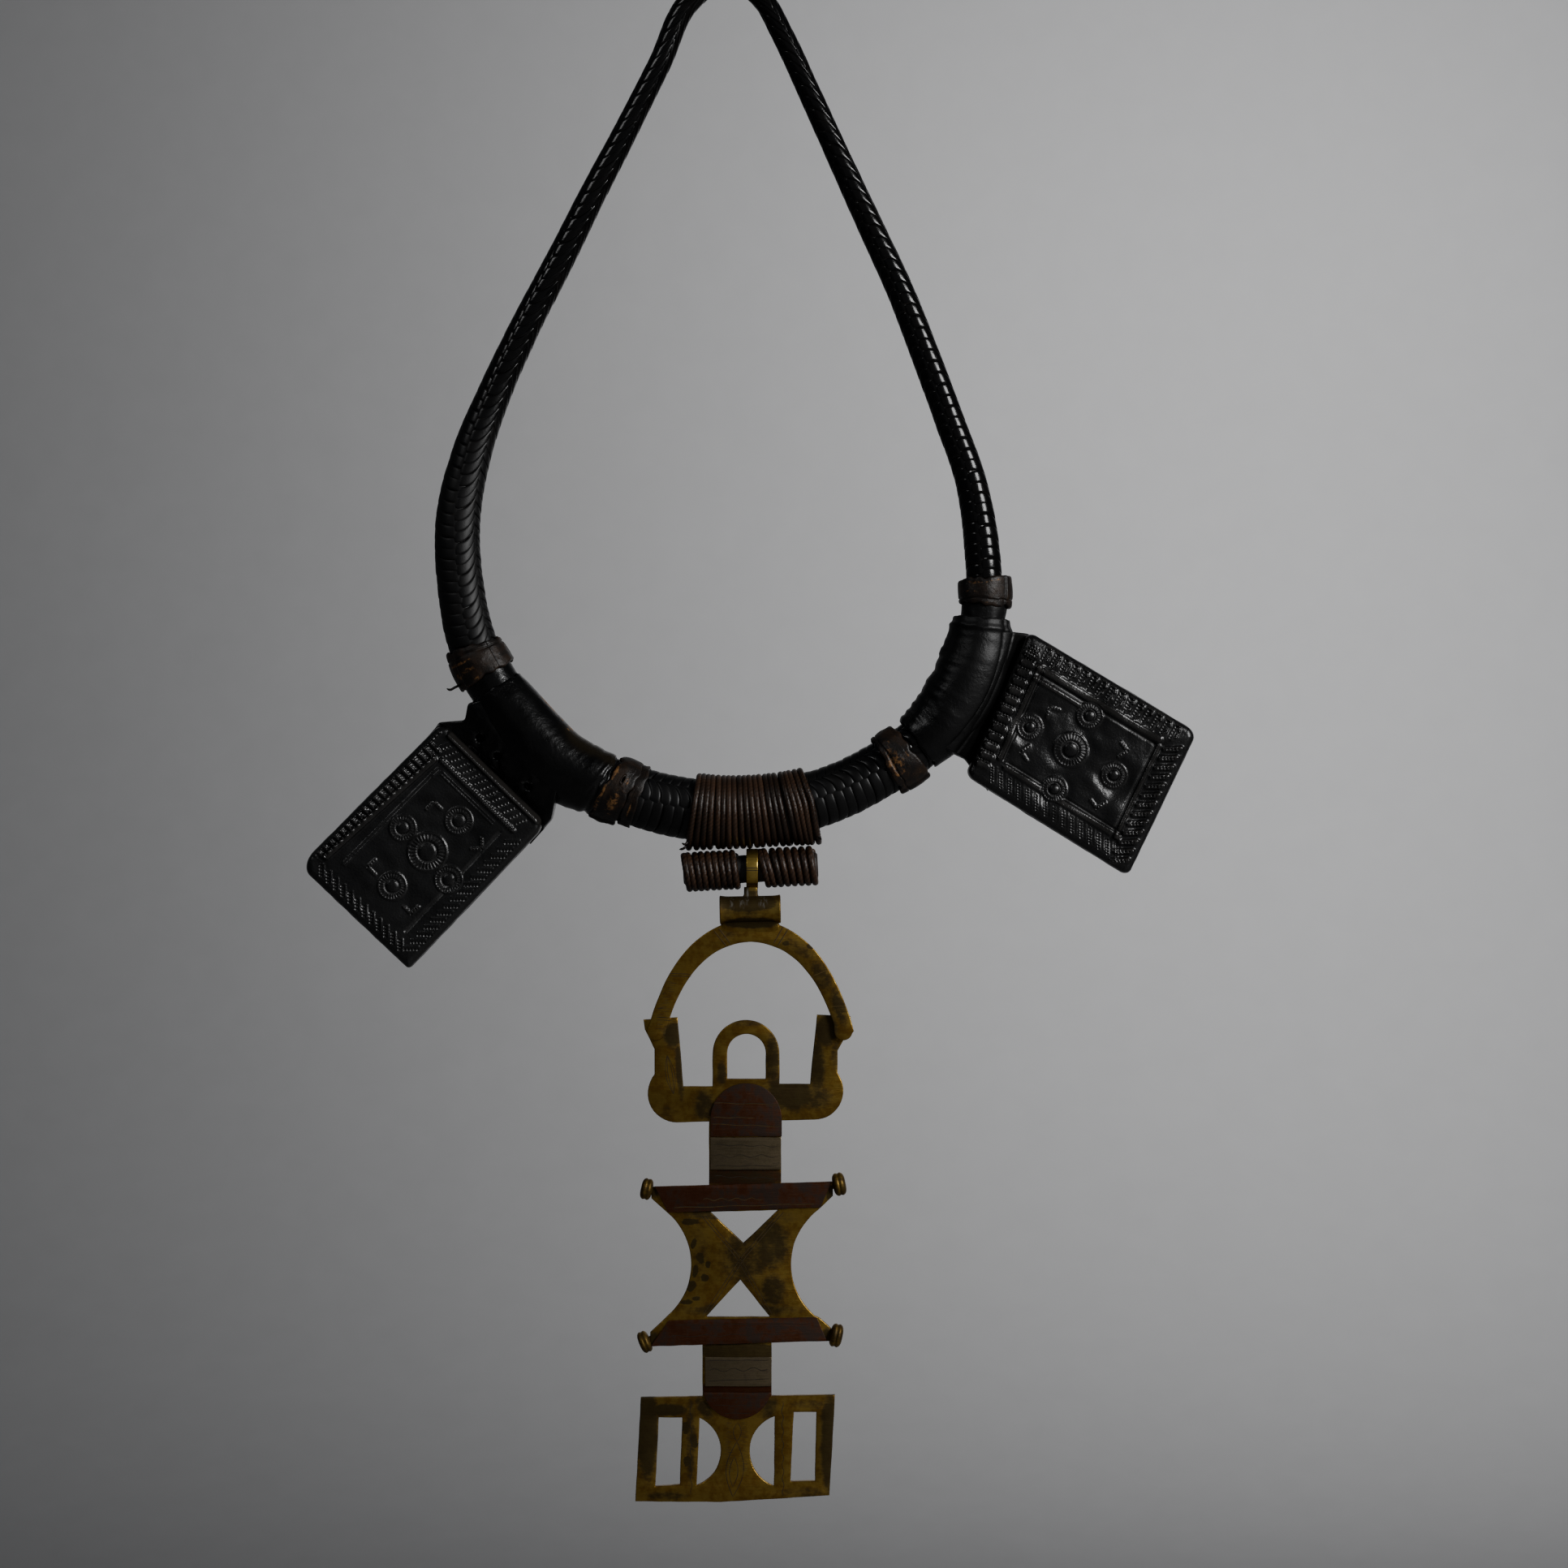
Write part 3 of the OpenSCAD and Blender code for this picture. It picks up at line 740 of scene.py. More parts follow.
def wrapped(surface, stretch, outer, wall, steps, around, shape, wear=None, tone=None,
            ragged=0.0, lean=0.0):
    """Adds leather round the collar, with rounded lips at both ends.

    outer gives the radius for a share of the stretch, shape adds to it for each point and
    wear and tone colour it; each takes the share, the angle, and the place on the leather.
    The outer side lies further along than the front by the lean.
    """
    first, last = length_at(stretch[0]), length_at(stretch[1])
    t = once_round(around)
    sine, cosine = np.sin(np.radians(t)), np.cos(np.radians(t))
    quarter = math.pi / 2
    lip = np.linspace(-quarter, quarter, 8)
    body = np.linspace(0, 1, steps)[1:-1]
    share, turn, push = (np.concatenate(parts)[:, None] for parts in (
        ([0.0], 0 * lip, body, 0 * lip + 1, [1.0]),
        ([-quarter], lip, quarter + 0 * body, lip[::-1], [-quarter]),
        ([TUCK], -np.cos(lip) * wall / 2, 0 * body, np.cos(lip) * wall / 2, [-TUCK])))
    edge = ragged * rough(joined(t / 14, share * 9, 0), 1.0, 5)
    l = (first + wall / 2 + (last - first - wall) * share + push + edge * (share - 0.5) * 2
         + lean * sine)
    s = station_of(l)
    thick = np.clip(outer(share) - radius(s) - 0.3, 0.5, wall)
    on = joined(l, GRAIN_RADIUS * cosine, GRAIN_RADIUS * sine)
    r = outer(share) - thick / 2 + thick / 2 * np.sin(turn)
    r = r + shape(share, t, on) * (np.sin(turn) > -0.99) * (0.5 + 0.5 * np.sin(turn))
    kept, dark = (0 * r + (np.clip(colour(share, t, on), 0, 1) if colour else 0)
                  for colour in (wear, tone))
    surface.grid(place(s, t, r), around=True, wear=kept,
                 tone=np.where(np.sin(turn) < -0.6, 0.8, dark))


def distances(points):
    """How far along the line through points each of them lies."""
    return np.concatenate([[0], np.cumsum(np.linalg.norm(np.diff(points, axis=0), axis=1))])


def curve_through(points, count):
    """Evenly spaced points along straight lines between the given ones."""
    d = distances(points)
    f = np.linspace(0, d[-1], count)
    return joined(*(np.interp(f, d, axis) for axis in np.transpose(points)))


def rounded_line(points, count, passes=6):
    """The same line with its corners softened, its ends kept."""
    line = curve_through(points, count)
    for _ in range(passes):
        line[1:-1] = (line[:-2] + 2 * line[1:-1] + line[2:]) / 4
    return line


# A flap leaves its sleeve so many degrees round from the front and reaches so far behind the
# pouch, where its front and its back lie so deep; its edges are at most so thick
FLAP_ANGLE, FLAP_REACH, FLAP_FRONT, FLAP_BACK, FLAP_THICK = 40, 8.5, 3.55, 5.1, 1.7


def flap(surface, stretch, tube, corners, upper, lower, shape, valley):
    """The leather that leaves the sleeve on its outer side and ends under the pouch."""
    n, m = 96, 72
    i, j = np.linspace(0, 1, n)[:, None], np.linspace(0, 1, m)[None, :]
    s = stretch[0] + (stretch[1] - stretch[0]) * i[:, 0]
    r = tube(s)[:, None]
    leave = math.radians(FLAP_ANGLE)
    root = along(s)[:, :2] + outward(s) * r * math.sin(leave)
    start = -r * math.cos(leave)
    a, b, c, d = (np.array(p, float) for p in corners)
    lap_a, lap_d = a + unit(b - a) * FLAP_REACH, d + unit(c - d) * FLAP_REACH
    end = lap_a + (lap_d - lap_a) * i
    side0 = rounded_line([root[0], *upper, lap_a], m)
    side1 = rounded_line([root[-1], *lower, lap_d], m)
    i3, j3 = i[..., None], j[..., None]
    plan = ((1 - i3) * side0 + i3 * side1 + (1 - j3) * root[:, None] + j3 * end[:, None]
            - (1 - i3) * ((1 - j3) * root[0] + j3 * lap_a)
            - i3 * ((1 - j3) * root[-1] + j3 * lap_d))
    away = (plan - a) @ left_of(unit(d - a))
    away = away * np.sign(away[n // 2, 0])
    q = np.clip((away + 0.6) / (away[:, :1] + 0.6), 0, 1)
    bump = shape(q, joined(plan[..., 0], 0, plan[..., 1]))
    under = smooth(away, -0.6, -3.0)
    front = valley + (start - valley + 0.35) * smooth(q, -0.15, 1.02)**1.05
    front = (front - bump) * (1 - under) + FLAP_FRONT * under
    back = FLAP_BACK + (-start - 0.35 - FLAP_BACK) * q**1.12
    surface.grid(joined(plan[..., 0], front, plan[..., 1]))
    surface.grid(joined(plan[..., 0], back, plan[..., 1]), flip=True)
    turn = np.linspace(-np.pi / 2, np.pi / 2, 7)[:, None]
    for k, inner in ((0, 1), (-1, -2)):
        rim = np.minimum(back[k] - front[k], FLAP_THICK) / 2 * np.cos(turn) * 0.6
        edge = plan[k] + unit(plan[k] - plan[inner]) * rim[..., None]
        y = (front[k] + back[k]) / 2 + (back[k] - front[k]) / 2 * np.sin(turn)
        surface.grid(joined(edge[..., 0], y, edge[..., 1]), wear=0.15)


POUCH_LEFT = ((-87.5, -226.5), (-131.4, -270.6), (-97.8, -302.4), (-55.3, -257.6))
POUCH_RIGHT = ((92.7, -198.6), (144.4, -229.6), (123.2, -273.8), (73.4, -242.8))


def near(points, at, size):
    """How near points are to a place across and up, 1 at it and falling off over the size."""
    return hump(np.hypot(points[..., 0] - at[0], points[..., 2] - at[1]), size)


def from_line(x, z, a, b):
    """How far along the line between two places, and how far from it, each point lies."""
    a, b = np.array(a, float), np.array(b, float)
    d = unit(b - a)
    u, v = x - a[0], z - a[1]
    f = np.clip(u * d[0] + v * d[1], 0, np.linalg.norm(b - a))
    return f, np.hypot(u - d[0] * f, v - d[1] * f)


def crease(points, a, b, width):
    """How near points are to the line between two places across and up."""
    return hump(from_line(points[..., 0], points[..., 2], a, b)[1], width)


def sleeve(look, stretch, ends, looks, cuff, flap_stretch, *flap_parts):
    """Leather round a stretch, with its cuff and the pouch's flap.

    ends holds the radii at both ends, looks its shape, wear and tone.
    """
    first, last = stretch
    bow = 2 * look.radius / MM - (ends[0] + ends[1]) / 2
    outer = lambda f: ends[0] * (1 - f)**2 + bow * 2 * f * (1 - f) + ends[1] * f**2
    surface = Surface()
    wrapped(surface, stretch, outer, look.wall / MM, 130, 176, *looks, ragged=0.5)
    wrapped(surface, *cuff)
    flap(surface, flap_stretch, lambda s: outer((s - first) / (last - first)), *flap_parts)
    return surface


def sleeve_left(look):
    def wrinkles(share, t, on):
        slanted = joined(on[..., 0] + 0.5 * on[..., 2], on[..., 1], on[..., 2])
        ribs = rough(slanted / [1.1, 7, 7], 1.0, 11)
        folds = rough(on / [5, 4, 4], 1.0, 12)
        gather = -0.5 * hump(share - 0.975 + 0.04 * np.sin(np.radians(t)), 0.012)
        return ribs * (0.03 + 0.2 * smooth(share, 0.72, 0.95)) + folds * 0.14 + gather

    def wear(share, t, on):
        line = hump(t + 78 + 5 * share, 4) * smooth(share, 0.12, 0.3)
        line = line * (1 - 0.7 * smooth(share, 0.55, 0.7))
        second = hump(t + 66, 3) * hump(share - 0.52, 0.1) * 0.7
        return (line + second) * (0.6 + 0.6 * rough(on, 2.5, 18))

    def tone(share, t, on):
        return hump(t + 66, 26) * smooth(share, 0.3, 0.7)

    def stitched(q, on):
        height = 0.2 * rough(on, 4.0, 14) + 0.1 * rough(on, 1.6, 15)
        for at in ((-76, -231.5), (-70.5, -237), (-61.2, -246.2)):
            a = np.arctan2(on[..., 2] - at[1], on[..., 0] - at[0])
            pucker = (0.55 + 0.35 * np.cos(5 * a + at[0])) * (near(on, at, 3) - near(on, at, 1.6))
            height = height - 1.9 * near(on, at, 1.1) + pucker
        return (height - 0.55 * crease(on, (-79, -234.7), (-68.7, -244.7), 0.7)
                - 0.4 * crease(on, (-72, -226), (-60, -238), 1.0))

    cuff = ((11.25, 11.8), lambda f: 8.05 + 0.15 * f, 1.0, 20, 120,
            lambda share, t, on: 0.15 * rough(on, 4.0, 16))
    return sleeve(look, SLEEVE_LEFT, (8.8, 9.9), (wrinkles, wear, tone), cuff, (11.64, 13.2),
                  POUCH_LEFT, [(-79.4, -221), (-80.4, -226.2), (-88.5, -226.8)],
                  [(-53.2, -251.6), (-54.2, -256)], stitched, -3.0)


def sleeve_right(look):
    def wrinkles(share, t, on):
        ribs = rough(on / [1.7, 7, 7], 1.0, 21)
        folds = rough(on / [5, 4, 4], 1.0, 22)
        inner = smooth(-t, 0, 60)
        fold = hump(t - 48, 7) * smooth(share, 0.05, 0.3)
        corner = smooth(share, 0.86, 1.0) * smooth(t, 30, 85)
        return (ribs * (0.05 + 0.25 * inner) + folds * (0.18 + 0.26 * inner)
                - 0.8 * fold + 0.5 * hump(share - 0.95, 0.02) - 0.8 * corner)

    def wear(share, t, on):
        return 0.35 * hump(share - 0.72, 0.008) * hump(t - 18, 13) + 0.25 * hump(t + 80, 12)

    def folded(q, on):
        height = 0.3 * rough(on, 4.0, 24) + 0.12 * rough(on, 1.6, 25)
        return height - 0.5 * hump(q - 0.62, 0.05)

    cuff = ((20.8, 21.2), lambda f: 6.9 + 0.2 * f, 1.0, 16, 120,
            lambda share, t, on: 0.25 * rough(on, 3.0, 26))
    return sleeve(look, SLEEVE_RIGHT, (9.2, 9.3), (wrinkles, wear), cuff, (20.78, 18.95),
                  POUCH_RIGHT, [(92.3, -199.5)], [(73.5, -237.5)], folded, 0.3)


class NECKLACE_OT_sleeves(Operator):
    """Wrap the two leather sleeves round the collar, with the flaps that carry the pouches"""
    bl_idname = "necklace.sleeves"
    bl_label = "Leather Sleeves"

    def execute(self, context):
        look = context.scene.necklace.sleeves
        for side, shape in (("left", sleeve_left), ("right", sleeve_right)):
            build(f"sleeve_{side}_leather", shape(look), sleeve_leather(),
                  "collar", (f"sleeve_{side}",))
        return {'FINISHED'}


# The bands' rubbed places: share of the band's width, angle, both sizes and strength
BAND_WEAR = {
    "band_left_upper": [(0.34, 38, 0.05, 30, 1.5), (0.62, 22, 0.12, 12, 1.1),
                        (0.72, 50, 0.12, 18, 0.8), (0.97, 30, 0.04, 40, 0.8)],
    "band_left_lower": [(0.02, 0, 0.05, 70, 1.3), (0.6, 26, 0.3, 26, 1.4),
                        (0.72, -20, 0.1, 8, 1.4), (0.95, -20, 0.05, 30, 0.5)],
    "band_right_lower": [(0.4, -8, 0.3, 40, 1.0), (0.88, -10, 0.05, 50, 0.7),
                         (0.1, 20, 0.08, 30, 0.7)],
    "band_right_upper": [(0.92, -10, 0.04, 50, 0.9), (0.5, -30, 0.08, 24, 0.8),
                         (0.06, 10, 0.04, 40, 0.6)],
}

# Angle of each band's overlapping end, its lean in millimetres, and its hole's share and angle
BAND_CUT = {
    "band_left_upper": (-28, 0.0, None), "band_left_lower": (75, -1.7, (0.55, -20)),
    "band_right_lower": (75, 0.0, None), "band_right_upper": (52, 0.0, None)}


def band(name, look):
    first, last, r0, r1 = BANDS[name]
    fold, lean, hole = BAND_CUT[name]
    seed = 30 + list(BANDS).index(name)

    def from_hole(share, t):
        return np.hypot((share - hole[0]) * 11, (t - hole[1]) * 0.16)

    def shape(share, t, on):
        h = 0.14 * rough(on, 2.2, seed) + 0.3 * rough(on, 6.0, seed + 40)
        h = h + 0.5 * smooth(t, fold - 2, fold) * (1 - smooth(t, fold + 70, fold + 76))
        if hole:
            d = from_hole(share, t)
            return h - 1.1 * (1 - smooth(d, 0.5, 1.0)) + 0.35 * hump(d - 1.2, 0.3)
        return h - 0.35 * hump(share - 0.16, 0.03)

    def wear(share, t, on):
        return sum(amount * hump(share - f, wide) * hump(t - at, high)
                   for f, at, wide, high, amount in BAND_WEAR[name])

    def tone(share, t, on):
        dark = 0.4 * np.clip(rough(on, 5.0, seed + 90), 0, 1) + 0.6 * hump(t - fold + 3, 2)
        return dark + 1 - smooth(from_hole(share, t), 0.6, 1.0) if hole else dark

    surface = Surface()
    wrapped(surface, (first, last),
            lambda f: r0 + (r1 - r0) * f + 0.3 * np.sin(np.pi * np.clip(f, 0, 1)),
            look.band_wall / MM, 52, 240, shape, wear, tone, ragged=0.7, lean=lean)
    if name == "band_left_upper":
        thread(surface, [(-80.5, 5, -214.5), (-82, -4, -215.2), (-83.6, -5, -215.8),
                         (-85.2, -5, -217), (-86, -5, -216.2)], 24, 3, 0.5, 0.2)
    if name == "band_left_lower":
        wrapped(surface, (14.235, 14.38), lambda f: 9.9 + 0.2 * f, 1.1, 24, 200,
                lambda share, t, on: 0.3 * rough(on, 2.5, seed + 7),
                lambda share, t, on: hump(share - 0.5, 0.2) * hump(t - 34, 20),
                lambda share, t, on: 0.3, ragged=0.5, lean=-0.6)
    return surface


class NECKLACE_OT_bands(Operator):
    """Wrap the four keeper bands round the collar"""
    bl_idname = "necklace.bands"
    bl_label = "Keeper Bands"

    def execute(self, context):
        look = context.scene.necklace.sleeves
        for name in BANDS:
            build(f"{name}_leather", band(name, look), band_leather(),
                  "collar", (name,))
        return {'FINISHED'}


# ---------------------------------------------------------------------------
# Stamped pouches
# ---------------------------------------------------------------------------


class Stamps:
    """Heights pressed into a sheet of points, in millimetres out of the pouch's front."""

    def __init__(self, x, z):
        self.x, self.z = x, z
        self.height, self.wear, self.dark = 0 * x, 0 * x, 0 * x

    def dot(self, at, r, depth, rim=0.1):
        d = np.hypot(self.x - at[0], self.z - at[1])
        pit = 1 - smooth(d, r * 0.45, r * 1.25)
        lip = hump(d - r * 1.5, r * 0.4)
        self.height += rim * lip - depth * pit
        self.dark = np.maximum(self.dark, pit * 0.8)
        self.wear = np.maximum(self.wear, lip * 0.55)

    def dots(self, at, direction, count, gap, r, depth=0.3, rim=0.1):
        """A straight row of dots, evenly spaced to both sides of a place."""
        direction = unit(np.array(direction, float))
        for n in range(count):
            self.dot(at + direction * gap * (n - (count - 1) / 2), r, depth, rim)

    def line(self, a, b, width, height, beads=0.0, wear=0.6):
        f, d = from_line(self.x, self.z, a, b)
        bar = 1 - smooth(d, width * 0.25, width * 0.75)
        if beads:
            bar = bar * (0.72 + 0.28 * np.cos(2 * np.pi * f / beads))
        self.height += height * bar
        self.wear = np.maximum(self.wear, bar * wear)
        if height < 0:
            self.dark = np.maximum(self.dark, bar * 0.8)

    def bar(self, middle, half, width, height, wear):
        """A line to both sides of a place."""
        half = np.array(half, float)
        self.line(middle - half, middle + half, width, height, 0, wear)

    def rosette(self, at, r, ticks, bulge=0.85, hollow=0.5):
        dx, dz = self.x - at[0], self.z - at[1]
        d, a = np.hypot(dx, dz) / r, np.arctan2(dz, dx)
        inside = 1 - smooth(d, 1.0, 1.12)
        ring, moat = hump(d - 0.97, 0.07), hump(d - 0.49, 0.05)
        tick = (0.5 + 0.5 * np.cos(ticks * a))**1.6
        rays = tick * smooth(d, 0.5, 0.58) * (1 - smooth(d, 0.84, 0.92))
        between = (1 - tick) * smooth(d, 0.5, 0.56) * (1 - smooth(d, 0.86, 0.93))
        dome = np.sqrt(np.clip(1 - (d / 0.43)**2, 0, 1))
        self.height = self.height * (1 - inside) + inside * (
            0.5 * ring + 0.5 * rays + bulge * dome - 0.3 * moat - 0.12)
        self.height -= hollow * hump(d - 1.1, 0.45)
        self.wear = np.maximum(self.wear * (1 - inside), ring * 0.55 + rays * 0.5 + dome * 0.25)
        self.dark = self.dark * (1 - inside) + inside * np.clip((moat + between) * 0.8, 0, 1)

    def corner(self, at, turn):
        """Three dots in a bent row with a short raised arm on each side."""
        at = np.array(at)
        for angle in (-45, 45):
            a = math.radians(turn + angle)
            arm = np.array([math.cos(a), math.sin(a)])
            self.line(at + arm * 0.7, at + arm * 3.2, 0.9, 0.4)
            for n in (1, 2, 3):
                self.dot(at + arm * 0.95 * n, 0.3, 0.3)
        self.dot(at, 0.34, 0.35)


class Edge:
    """One edge of a pouch, to place stamps beside it."""

    def __init__(self, corners, k):
        self.a, b = np.array(corners[k], float), np.array(corners[(k + 1) % 4], float)
        self.length = np.linalg.norm(b - self.a)
        self.direction = unit(b - self.a)
        self.inward = left_of(self.direction)
        if np.dot(np.mean(corners, axis=0) - self.a, self.inward) < 0:
            self.inward = -self.inward

    def at(self, along_it, inward):
        return self.a + self.direction * along_it + self.inward * inward

    def spots(self, first, last, count, inward):
        """Evenly spaced places beside the edge, first and last measured along it."""
        return [self.at(d, inward) for d in np.linspace(first, last, count)]

    def line(self, first, last, inward, end_inward=None):
        """A line beside the edge; it may end further in or out than it starts."""
        return (self.at(first, inward),
                self.at(self.length - last, inward if end_inward is None else end_inward))


def left_pattern(stamps, edges):
    for k, ends, width, height, beads, worn in (
            (0, (3, 6, 1.6, 1.0), 1.3, 0.75, 1.3, 0.7), (0, (10, 8, 6.4, 4.0), 2.0, 0.9, 0, 0.8),
            (3, (3, 5, 1.5, 1.3), 2.1, 1.0, 0, 0.9), (3, (6, 8, 8.8, 8.5), 1.5, 0.8, 0.9, 0.6),
            (3, (9, 9, 0.1), 0.5, 0.3, 0, 0.3), (0, (11, 10, 8.9), 0.4, 0.22, 0, 0.3),
            (3, (12, 11, 10.9), 0.4, 0.22, 0, 0.3), (0, (11, 10, 9.9), 0.4, 0.22, 0, 0.3),
            (3, (12, 11, 11.8), 0.4, 0.22, 0, 0.3)):
        stamps.line(*edges[k].line(*ends), width, height, beads, worn)
    inward = edges[0].inward
    for n, at in enumerate(edges[0].spots(7, 55, 21, 3.9)):
        at = at - inward * n * 0.07
        stamps.bar(at, inward * (1.9 - 0.05 * n), 1.1, 0.62, 0.6)
        stamps.dots(at + edges[0].direction * 1.15, inward, 3, 0.95, 0.3, 0.22)
    slant = edges[3].inward + edges[3].direction * 0.45
    for at in edges[3].spots(6, 38.5, 14, 5.3):
        stamps.dots(at, slant, 5, 1.1, 0.36, 0.3, 0.05)
        stamps.bar(at + edges[3].direction * 1.3, slant * 2.2, 0.7, 0.12, 0.3)
    for at in edges[2].spots(5, 50, 16, 3.5):
        stamps.dots(at, (1, 0), 5, 0.98, 0.36)
        stamps.bar(at + (0.1, 0.95), (2.2, 0), 0.55, 0.22, 0.3)
    for at in edges[1].spots(5.8, 39, 12, 3.5):
        stamps.dots(at, (0, 1), 4, 0.98, 0.38, 0.32)
        stamps.bar(at + (1.1, 0), (0, 1.9), 0.6, 0.24, 0.3)
    for at, r, ticks in (((-92.0, -266.3), 6.1, 28), ((-99.5, -259.0), 4.1, 24),
                         ((-82.3, -256.8), 4.3, 26), ((-85.5, -274.8), 4.3, 26),
                         ((-102.8, -276.8), 4.4, 26)):
        stamps.rosette(at, r, ticks, 0.45, 0.15)
    stamps.line(*edges[2].line(8, 12, 8.6), 0.9, -0.35, 0, 0.1)
    for at, turn in (((-89.9, -251.0), -90), ((-75.3, -265.5), 135), ((-110.2, -271.0), 0),
                     ((-96.9, -285.4), 90)):
        stamps.corner(at, turn)


def right_pattern(stamps, edges):
    for k, ends, width, height, worn in (
            (0, (8, 9, 8.0), 2.1, 0.62, 0.75), (0, (9, 28, 11.6), 1.4, 0.62, 0.75),
            (3, (9, 9, 7.4), 1.6, 0.62, 0.75), (1, (9, 9, 8.8), 1.3, 0.62, 0.75),
            (2, (9, 9, 8.4), 1.8, 0.62, 0.75), (0, (9, 9, 9.9), 0.8, -0.35, 0.1),
            (3, (9, 9, 8.8), 0.8, -0.35, 0.1), (1, (9, 9, 10.2), 0.8, -0.35, 0.1),
            (2, (9, 9, 10.0), 0.8, -0.35, 0.1)):
        stamps.line(*edges[k].line(*ends), width, height, 0, worn)
    direction, inward = edges[0].direction, edges[0].inward
    for n in range(5):
        stamps.dots(edges[0].at(4.2, 3.6 + 0.95 * n), direction, 4, 0.95, 0.34, 0.4)
    for at in edges[0].spots(8, 54, 15, 3.9):
        stamps.dots(at, inward, 5, 0.95, 0.33, 0.34)
        arch = [at + direction * x + inward * y for x, y in (
            (-0.5, -2.8), (0.7, -2.7), (1.35, -1.2), (1.35, 1.0), (0.7, 2.4))]
        for start, end in zip(arch, arch[1:]):
            stamps.line(start, end, 0.75, 0.36)
    for at in edges[3].spots(5, 42, 13, 3.4):
        stamps.bar(at, edges[3].inward * 1.3, 2.2, 0.75, 0.6)
        stamps.dots(at + edges[3].direction * 1.4, edges[3].inward, 4, 0.95, 0.34, 0.34)
    for at in edges[1].spots(8, 46, 13, 4.6):
        stamps.bar(at, (2.4, 0), 1.7, 0.62, 0.5)
        stamps.bar(at + (2.0, 0.4), (0.8, 0.1), 1.2, 0.3, 0.8)
        stamps.dots(at, (1, 0), 4, 1.05, 0.34, 0.34)
    for at in edges[2].spots(7, 52, 15, 4.2):
        stamps.dots(at, (0, 1), 6, 0.86, 0.3, 0.36, 0.16)
        stamps.bar(at + (1.5, 0), (0, 2.4), 0.7, 0.08, 0.3)
    for at, r, ticks in (((105.5, -235.0), 5.3, 28), ((93.0, -228.0), 3.9, 26),
                         ((111.3, -224.5), 4.0, 26), ((118.8, -242.8), 4.0, 26),
                         ((100.5, -247.0), 3.9, 26)):
        stamps.rosette(at, r, ticks)
    for at, turn in (((99.0, -222.0), -60), ((122.8, -235.3), 170), ((90.2, -235.6), -10),
                     ((113.5, -253.0), 80)):
        stamps.corner(at, turn)


# How deep the pouches' backs lie, and for each pouch its corners, its pattern, how round its
# corners are, how uneven its leather is over 16, 8 and 3.5 millimetres, and its seed
POUCH_BACK = 3.2
POUCHES = {
    "left": (POUCH_LEFT, left_pattern, (0.12, 0.2, 0.05, 0.16), (0.35, 0.4, 0.16), 1),
    "right": (POUCH_RIGHT, right_pattern, (0.1, 0.12, 0.1, 0.1), (0.35, 0.75, 0.25), 2),
}


def rounded_square(rows, columns, roundness):
    """Points of a square from -1 to 1 with round corners, closer together near its edges."""
    def spread(count):
        f = np.linspace(-1, 1, count)
        return np.sign(f) * (1 - (1 - np.abs(f))**1.25)

    p, q = np.meshgrid(spread(rows), spread(columns), indexing='ij')
    reach = np.maximum(np.abs(p), np.abs(q))
    ux, uy = p / np.maximum(reach, 1e-9), q / np.maximum(reach, 1e-9)
    r = np.where(uy > 0, np.where(ux > 0, roundness[2], roundness[3]),
                 np.where(ux > 0, roundness[1], roundness[0]))
    low = np.minimum(np.abs(ux), np.abs(uy))
    half, square = (1 - r) * (1 + low), 1 + low**2
    inside = half**2 - square * (2 * (1 - r)**2 - r**2)
    out = np.where(low > 1 - r, (half + np.sqrt(np.clip(inside, 0, None))) / square, 1.0)
    return p * out, q * out, reach


